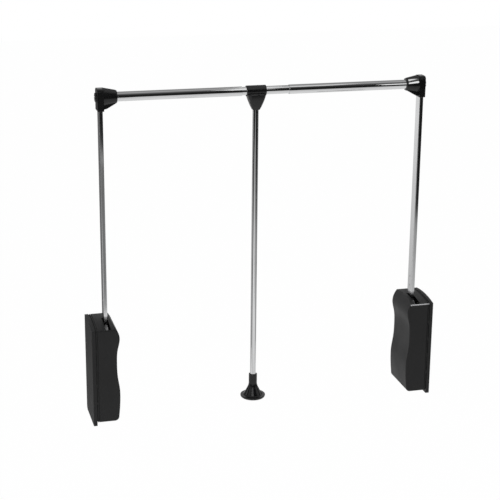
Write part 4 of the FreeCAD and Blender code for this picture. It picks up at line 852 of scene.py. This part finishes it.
def hub():
    """Sleeve round the bar and shield below, bored for bush, tube and screws."""
    lo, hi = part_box("hub_front_shell")
    centre_x = (lo.x + hi.x) / 2
    groove_start = centre_x + HUB_GROOVE[0]
    groove_end = centre_x + HUB_GROOVE[1]
    groove_r = HUB_R - HUB_GROOVE_DEEP
    sleeve = turned([(lo.x, 0, 0), (hi.x, 0, 0), (hi.x, HUB_R, HUB_END_ROUND), (groove_end, HUB_R, 0),
                     (groove_end, groove_r, 0), (groove_start, groove_r, 0), (groove_start, HUB_R, 0),
                     (lo.x, HUB_R, HUB_END_ROUND)], X_AXIS)
    body = combined(sleeve, "UNION", hub_shield(centre_x))
    handle_lo, handle_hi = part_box("handle_tube")
    handle_r = (handle_hi.x - handle_lo.x) / 2
    notch_x = (groove_start + groove_end) / 2
    shoulder_y = SHIELD_DEEP[0]
    cutters = [plain_cylinder(HUB_LIP_R, (lo.x - PAST, 0, 0), (hi.x + PAST, 0, 0), STEPS),
               plain_cylinder(HUB_BORE_R, (lo.x + HUB_LIP, 0, 0), (hi.x - HUB_LIP, 0, 0), STEPS),
               plain_cylinder(handle_r + HANDLE_FIT, (centre_x, 0, SHIELD_HEIGHTS[-1] - PAST),
                              (centre_x, 0, handle_hi.z), STEPS),
               plain_cylinder(SHIELD_NOTCH_R, (notch_x, -shoulder_y - PAST, SHIELD_HEIGHTS[0]),
                              (notch_x, SHIELD_NOTCH_DEEP - shoulder_y, SHIELD_HEIGHTS[0]))]
    for x, z in ((centre_x - HUB_SCREW_SIDE, HUB_SCREW_Z), (centre_x + HUB_SCREW_SIDE, HUB_SCREW_Z),
                 (centre_x, HUB_LOWER_SCREW_Z)):
        cutters.append(plain_cylinder(HUB_SCREW_POCKET_R, (x, HUB_SCREW_SEAT_Y, z), (x, 2 * HUB_R, z)))
    return combined(body, "DIFFERENCE", *cutters)


def hub_shells():
    """Two shells, parted by a fine shadow gap along the hub's upright mid-plane."""
    reach = 3 * HUB_R       # cutter beyond the bar's axis; it goes down twice as far
    lo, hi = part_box("hub_front_shell")
    for node, side in (("hub_front_shell", -1), ("hub_rear_shell", 1)):
        away = sorted((-side * reach, side * HUB_SEAM))
        cutter = block((lo.x - PAST, away[0], -2 * reach), (hi.x + PAST, away[1], reach))
        finished(node + "_moulded", combined(hub(), "DIFFERENCE", cutter), "pull_handle",
                 "fitting_plastic", node)


hub_shells()


def knob():
    """Turned form: plain socket, steep cone, thick rim rounded below, and a recess for the screw."""
    lo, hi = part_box("pull_knob")
    rim_r = (hi.x - lo.x) / 2
    rim_z = lo.z + KNOB_RIM
    recess_z = lo.z + KNOB_RECESS
    handle_lo, handle_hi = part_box("handle_tube")
    bore_r = (handle_hi.x - handle_lo.x) / 2 + HANDLE_FIT
    profile = [(lo.z, rim_r, KNOB_FOOT_ROUND), (rim_z, rim_r, KNOB_TOP_ROUND),
               (rim_z, KNOB_CONE_R, KNOB_CONE_ROUND), (lo.z + KNOB_CONE, KNOB_SOCKET_R, KNOB_NECK_ROUND),
               (hi.z, KNOB_SOCKET_R, KNOB_MOUTH_ROUND), (hi.z, bore_r, KNOB_MOUTH_ROUND),
               (handle_lo.z, bore_r, 0), (handle_lo.z, KNOB_SCREW_R, 0), (recess_z, KNOB_SCREW_R, 0),
               (recess_z, KNOB_RECESS_R, KNOB_MOUTH_ROUND), (lo.z, KNOB_RECESS_R, KNOB_MOUTH_ROUND)]
    centre = Vector(((lo.x + hi.x) / 2, (lo.y + hi.y) / 2, 0))
    finished("knob_turned", turned(profile, Z_AXIS, centre), "pull_handle", "fitting_plastic", "pull_knob")


knob()


# ---- studio ----

def stage_plane(name, corners, material):
    """Flat sheet of the studio, through four corners."""
    bm = bmesh.new()
    bm.faces.new([bm.verts.new(corner) for corner in corners])
    mesh = bpy.data.meshes.new(name)
    bm.to_mesh(mesh)
    bm.free()
    plane = bpy.data.objects.new(name, mesh)
    bpy.context.scene.collection.objects.link(plane)
    mesh.materials.append(material)
    return plane


def level_corners(x, y, z):
    """Corners of a level sheet; x and y are from and to."""
    return [(x[0], y[0], z), (x[1], y[0], z), (x[1], y[1], z), (x[0], y[1], z)]


def facing_corners(x, y, z):
    """Corners of an upright sheet across X; x and z are from and to."""
    return [(x[0], y, z[0]), (x[1], y, z[0]), (x[1], y, z[1]), (x[0], y, z[1])]


def side_corners(x, y, z):
    """Corners of an upright sheet across Y; y and z are from and to."""
    return [(x, y[0], z[0]), (x, y[1], z[0]), (x, y[1], z[1]), (x, y[0], z[1])]


def seen_directly(tree):
    """1 for the eye, for mirrors and through glass; 0 for the light that falls on the lift."""
    path = tree.nodes.new("ShaderNodeLightPath")
    total = path.outputs["Is Camera Ray"]
    for ray in ("Is Glossy Ray", "Is Transmission Ray"):
        total = maths(tree, "ADD", total, path.outputs[ray], clamp=True)
    return total


def blended(tree, factor, first, second):
    """Blend of two shaders, by their outputs."""
    mix = tree.nodes.new("ShaderNodeMixShader")
    for socket, source in zip(mix.inputs, (factor, first, second)):
        tree.links.new(source, socket)
    return mix.outputs["Shader"]


def floor_material():
    """Pale floor that still takes the shadow, and looks white."""
    material, tree, shader = new_material("pale_floor")
    set_input(tree, shader.inputs["Base Color"], FLOOR_COLOUR)
    shader.inputs["Roughness"].default_value = FLOOR_ROUGH
    shader.inputs["Specular IOR Level"].default_value = FLOOR_GLOSS
    glow = tree.nodes.new("ShaderNodeEmission")
    white = ranged(tree, seen_directly(tree), 0.0, FLOOR_WHITE)
    tree.links.new(blended(tree, white, shader.outputs["BSDF"], glow.outputs["Emission"]),
                   tree.nodes["Material Output"].inputs["Surface"])
    return material


def glowing_card(name, axis, stops, sway=None):
    """Material that glows by its place along one axis: stops are (metres, brightness).

    sway is (middle, width, drop): away from the middle, across X, the pattern sinks by up to drop.
    """
    material = bpy.data.materials.new(name)
    material.use_nodes = True
    tree = material.node_tree
    tree.nodes.clear()
    axes = object_axes(tree)
    along = axes[axis]
    if sway:
        middle, width, drop = sway
        away = maths(tree, "ABSOLUTE", maths(tree, "SUBTRACT", axes["X"], middle))
        along = maths(tree, "ADD", along, ranged(tree, away, 0.0, drop, 0.0, width))
    low, high = stops[0][0], stops[-1][0]
    ramp = tree.nodes.new("ShaderNodeValToRGB")
    elements = ramp.color_ramp.elements
    elements.remove(elements[0])
    for i, (at, level) in enumerate(stops):
        element = elements[0] if i == 0 else elements.new((at - low) / (high - low))
        element.position = (at - low) / (high - low)
        element.color = (level, level, level, 1)
    tree.links.new(ranged(tree, along, 0.0, 1.0, low, high), ramp.inputs["Fac"])
    glow = tree.nodes.new("ShaderNodeEmission")
    tree.links.new(ramp.outputs["Color"], glow.inputs["Color"])
    out = tree.nodes.new("ShaderNodeOutputMaterial")
    tree.links.new(glow.outputs["Emission"], out.inputs["Surface"])
    return material


def mirror_card(name, corners, material):
    """Card that only glossy surfaces see; it lights nothing and hides nothing."""
    card = stage_plane(name, corners, material)
    card.visible_camera = False
    card.visible_diffuse = False
    card.visible_shadow = False
    card.visible_transmission = False


floor_z = cad_box[0].z - FLOOR_DROP


def large_cards():
    """Front, both sides, ceiling, back and floor, each with its bands."""
    mirror_card("front_card", facing_corners(CARD_WIDE, FRONT_CARD_Y, (floor_z, FRONT_CARD_TOP)),
                glowing_card("front_glow", "Z", FRONT_STOPS, FRONT_SWAY))
    side_glow = glowing_card("side_glow", "Z", SIDE_STOPS)
    for x in (-SIDE_CARD_X, SIDE_CARD_X):
        corners = side_corners(x, (FRONT_CARD_Y, SIDE_CARD_BACK_Y), (floor_z, SIDE_CARD_TOP))
        mirror_card("side_card", corners, side_glow)
    mirror_card("ceiling_card", level_corners(CARD_WIDE, CEILING_Y, CEILING_Z),
                glowing_card("ceiling_glow", "Y", CEILING_STOPS))
    mirror_card("back_card", facing_corners(CARD_WIDE, BACK_CARD_Y, (floor_z, CEILING_Z)),
                glowing_card("back_glow", "Z", BACK_STOPS))
    mirror_card("floor_card", level_corners(CARD_WIDE, (FRONT_CARD_Y, BACK_CARD_Y), floor_z + CARD_LIFT),
                glowing_card("floor_glow", "Y", FLOOR_STOPS))


def small_cards():
    """Flags and panels, each for one dark or bright place on the chrome and the plastic."""
    for name, (x, y, z, levels) in UPRIGHT_CARDS.items():
        stops = levels if isinstance(levels, list) else [(z[0], levels), (z[1], levels)]
        mirror_card(name, facing_corners(x, y, z), glowing_card(name + "_glow", "Z", stops))
    for name, (x, y, level) in LEVEL_PANELS.items():
        stops = [(y[0], level), (y[1], level)]
        mirror_card(name, level_corners(x, y, LEVEL_PANELS_Z), glowing_card(name + "_glow", "Y", stops))


stage_plane("floor", level_corners((-FLOOR_HALF, FLOOR_HALF), (-FLOOR_HALF, FLOOR_HALF), floor_z),
            floor_material())
large_cards()
small_cards()


def world():
    """White surround for eye and mirror, a plain level of light for everything else."""
    surround = bpy.data.worlds.new("studio")
    bpy.context.scene.world = surround
    surround.use_nodes = True
    tree = surround.node_tree
    tree.nodes.clear()
    glows = []
    for strength in (SURROUND_LIGHT, 1.0):
        glow = tree.nodes.new("ShaderNodeBackground")
        glow.inputs["Color"].default_value = (1, 1, 1, 1)
        glow.inputs["Strength"].default_value = strength
        glows.append(glow.outputs["Background"])
    out = tree.nodes.new("ShaderNodeOutputWorld")
    tree.links.new(blended(tree, seen_directly(tree), *glows), out.inputs["Surface"])


world()


def softbox(name, place, size, power):
    """Rectangular lamp that looks at the middle of the lift and isn't seen in the chrome."""
    lamp = bpy.data.lights.new(name, "AREA")
    lamp.shape = "RECTANGLE"
    lamp.size = size[0]
    lamp.size_y = size[1]
    lamp.energy = power
    holder = bpy.data.objects.new(name, lamp)
    bpy.context.scene.collection.objects.link(holder)
    holder.location = place
    holder.rotation_mode = "QUATERNION"
    holder.rotation_quaternion = (Vector(LAMP_TARGET) - Vector(place)).to_track_quat("-Z", "Y")
    holder.visible_glossy = False


for name, values in SOFTBOXES.items():
    softbox(name, *values)


def make_camera():
    """Camera, turned by its yaw, pitch and roll."""
    camera = bpy.data.cameras.new("camera")
    camera.sensor_width = SENSOR
    camera.lens = FOCAL_PIXELS / IMAGE_SIDE * SENSOR
    camera.clip_end = VIEW_END
    holder = bpy.data.objects.new("camera", camera)
    bpy.context.scene.collection.objects.link(holder)
    yaw = math.radians(CAMERA_YAW)
    pitch = math.radians(CAMERA_PITCH)
    roll = math.radians(CAMERA_ROLL)
    forward = Vector((math.sin(yaw) * math.cos(pitch), math.cos(yaw) * math.cos(pitch), math.sin(pitch)))
    level = Vector((math.cos(yaw), -math.sin(yaw), 0.0))
    upward = level.cross(forward)
    right = level * math.cos(roll) + upward * math.sin(roll)
    top = upward * math.cos(roll) - level * math.sin(roll)
    turn = Matrix((right, top, -forward)).transposed()
    holder.matrix_world = Matrix.Translation(CAMERA_PLACE) @ turn.to_4x4()
    bpy.context.scene.camera = holder


make_camera()
bpy.context.scene.view_settings.view_transform = "Standard"
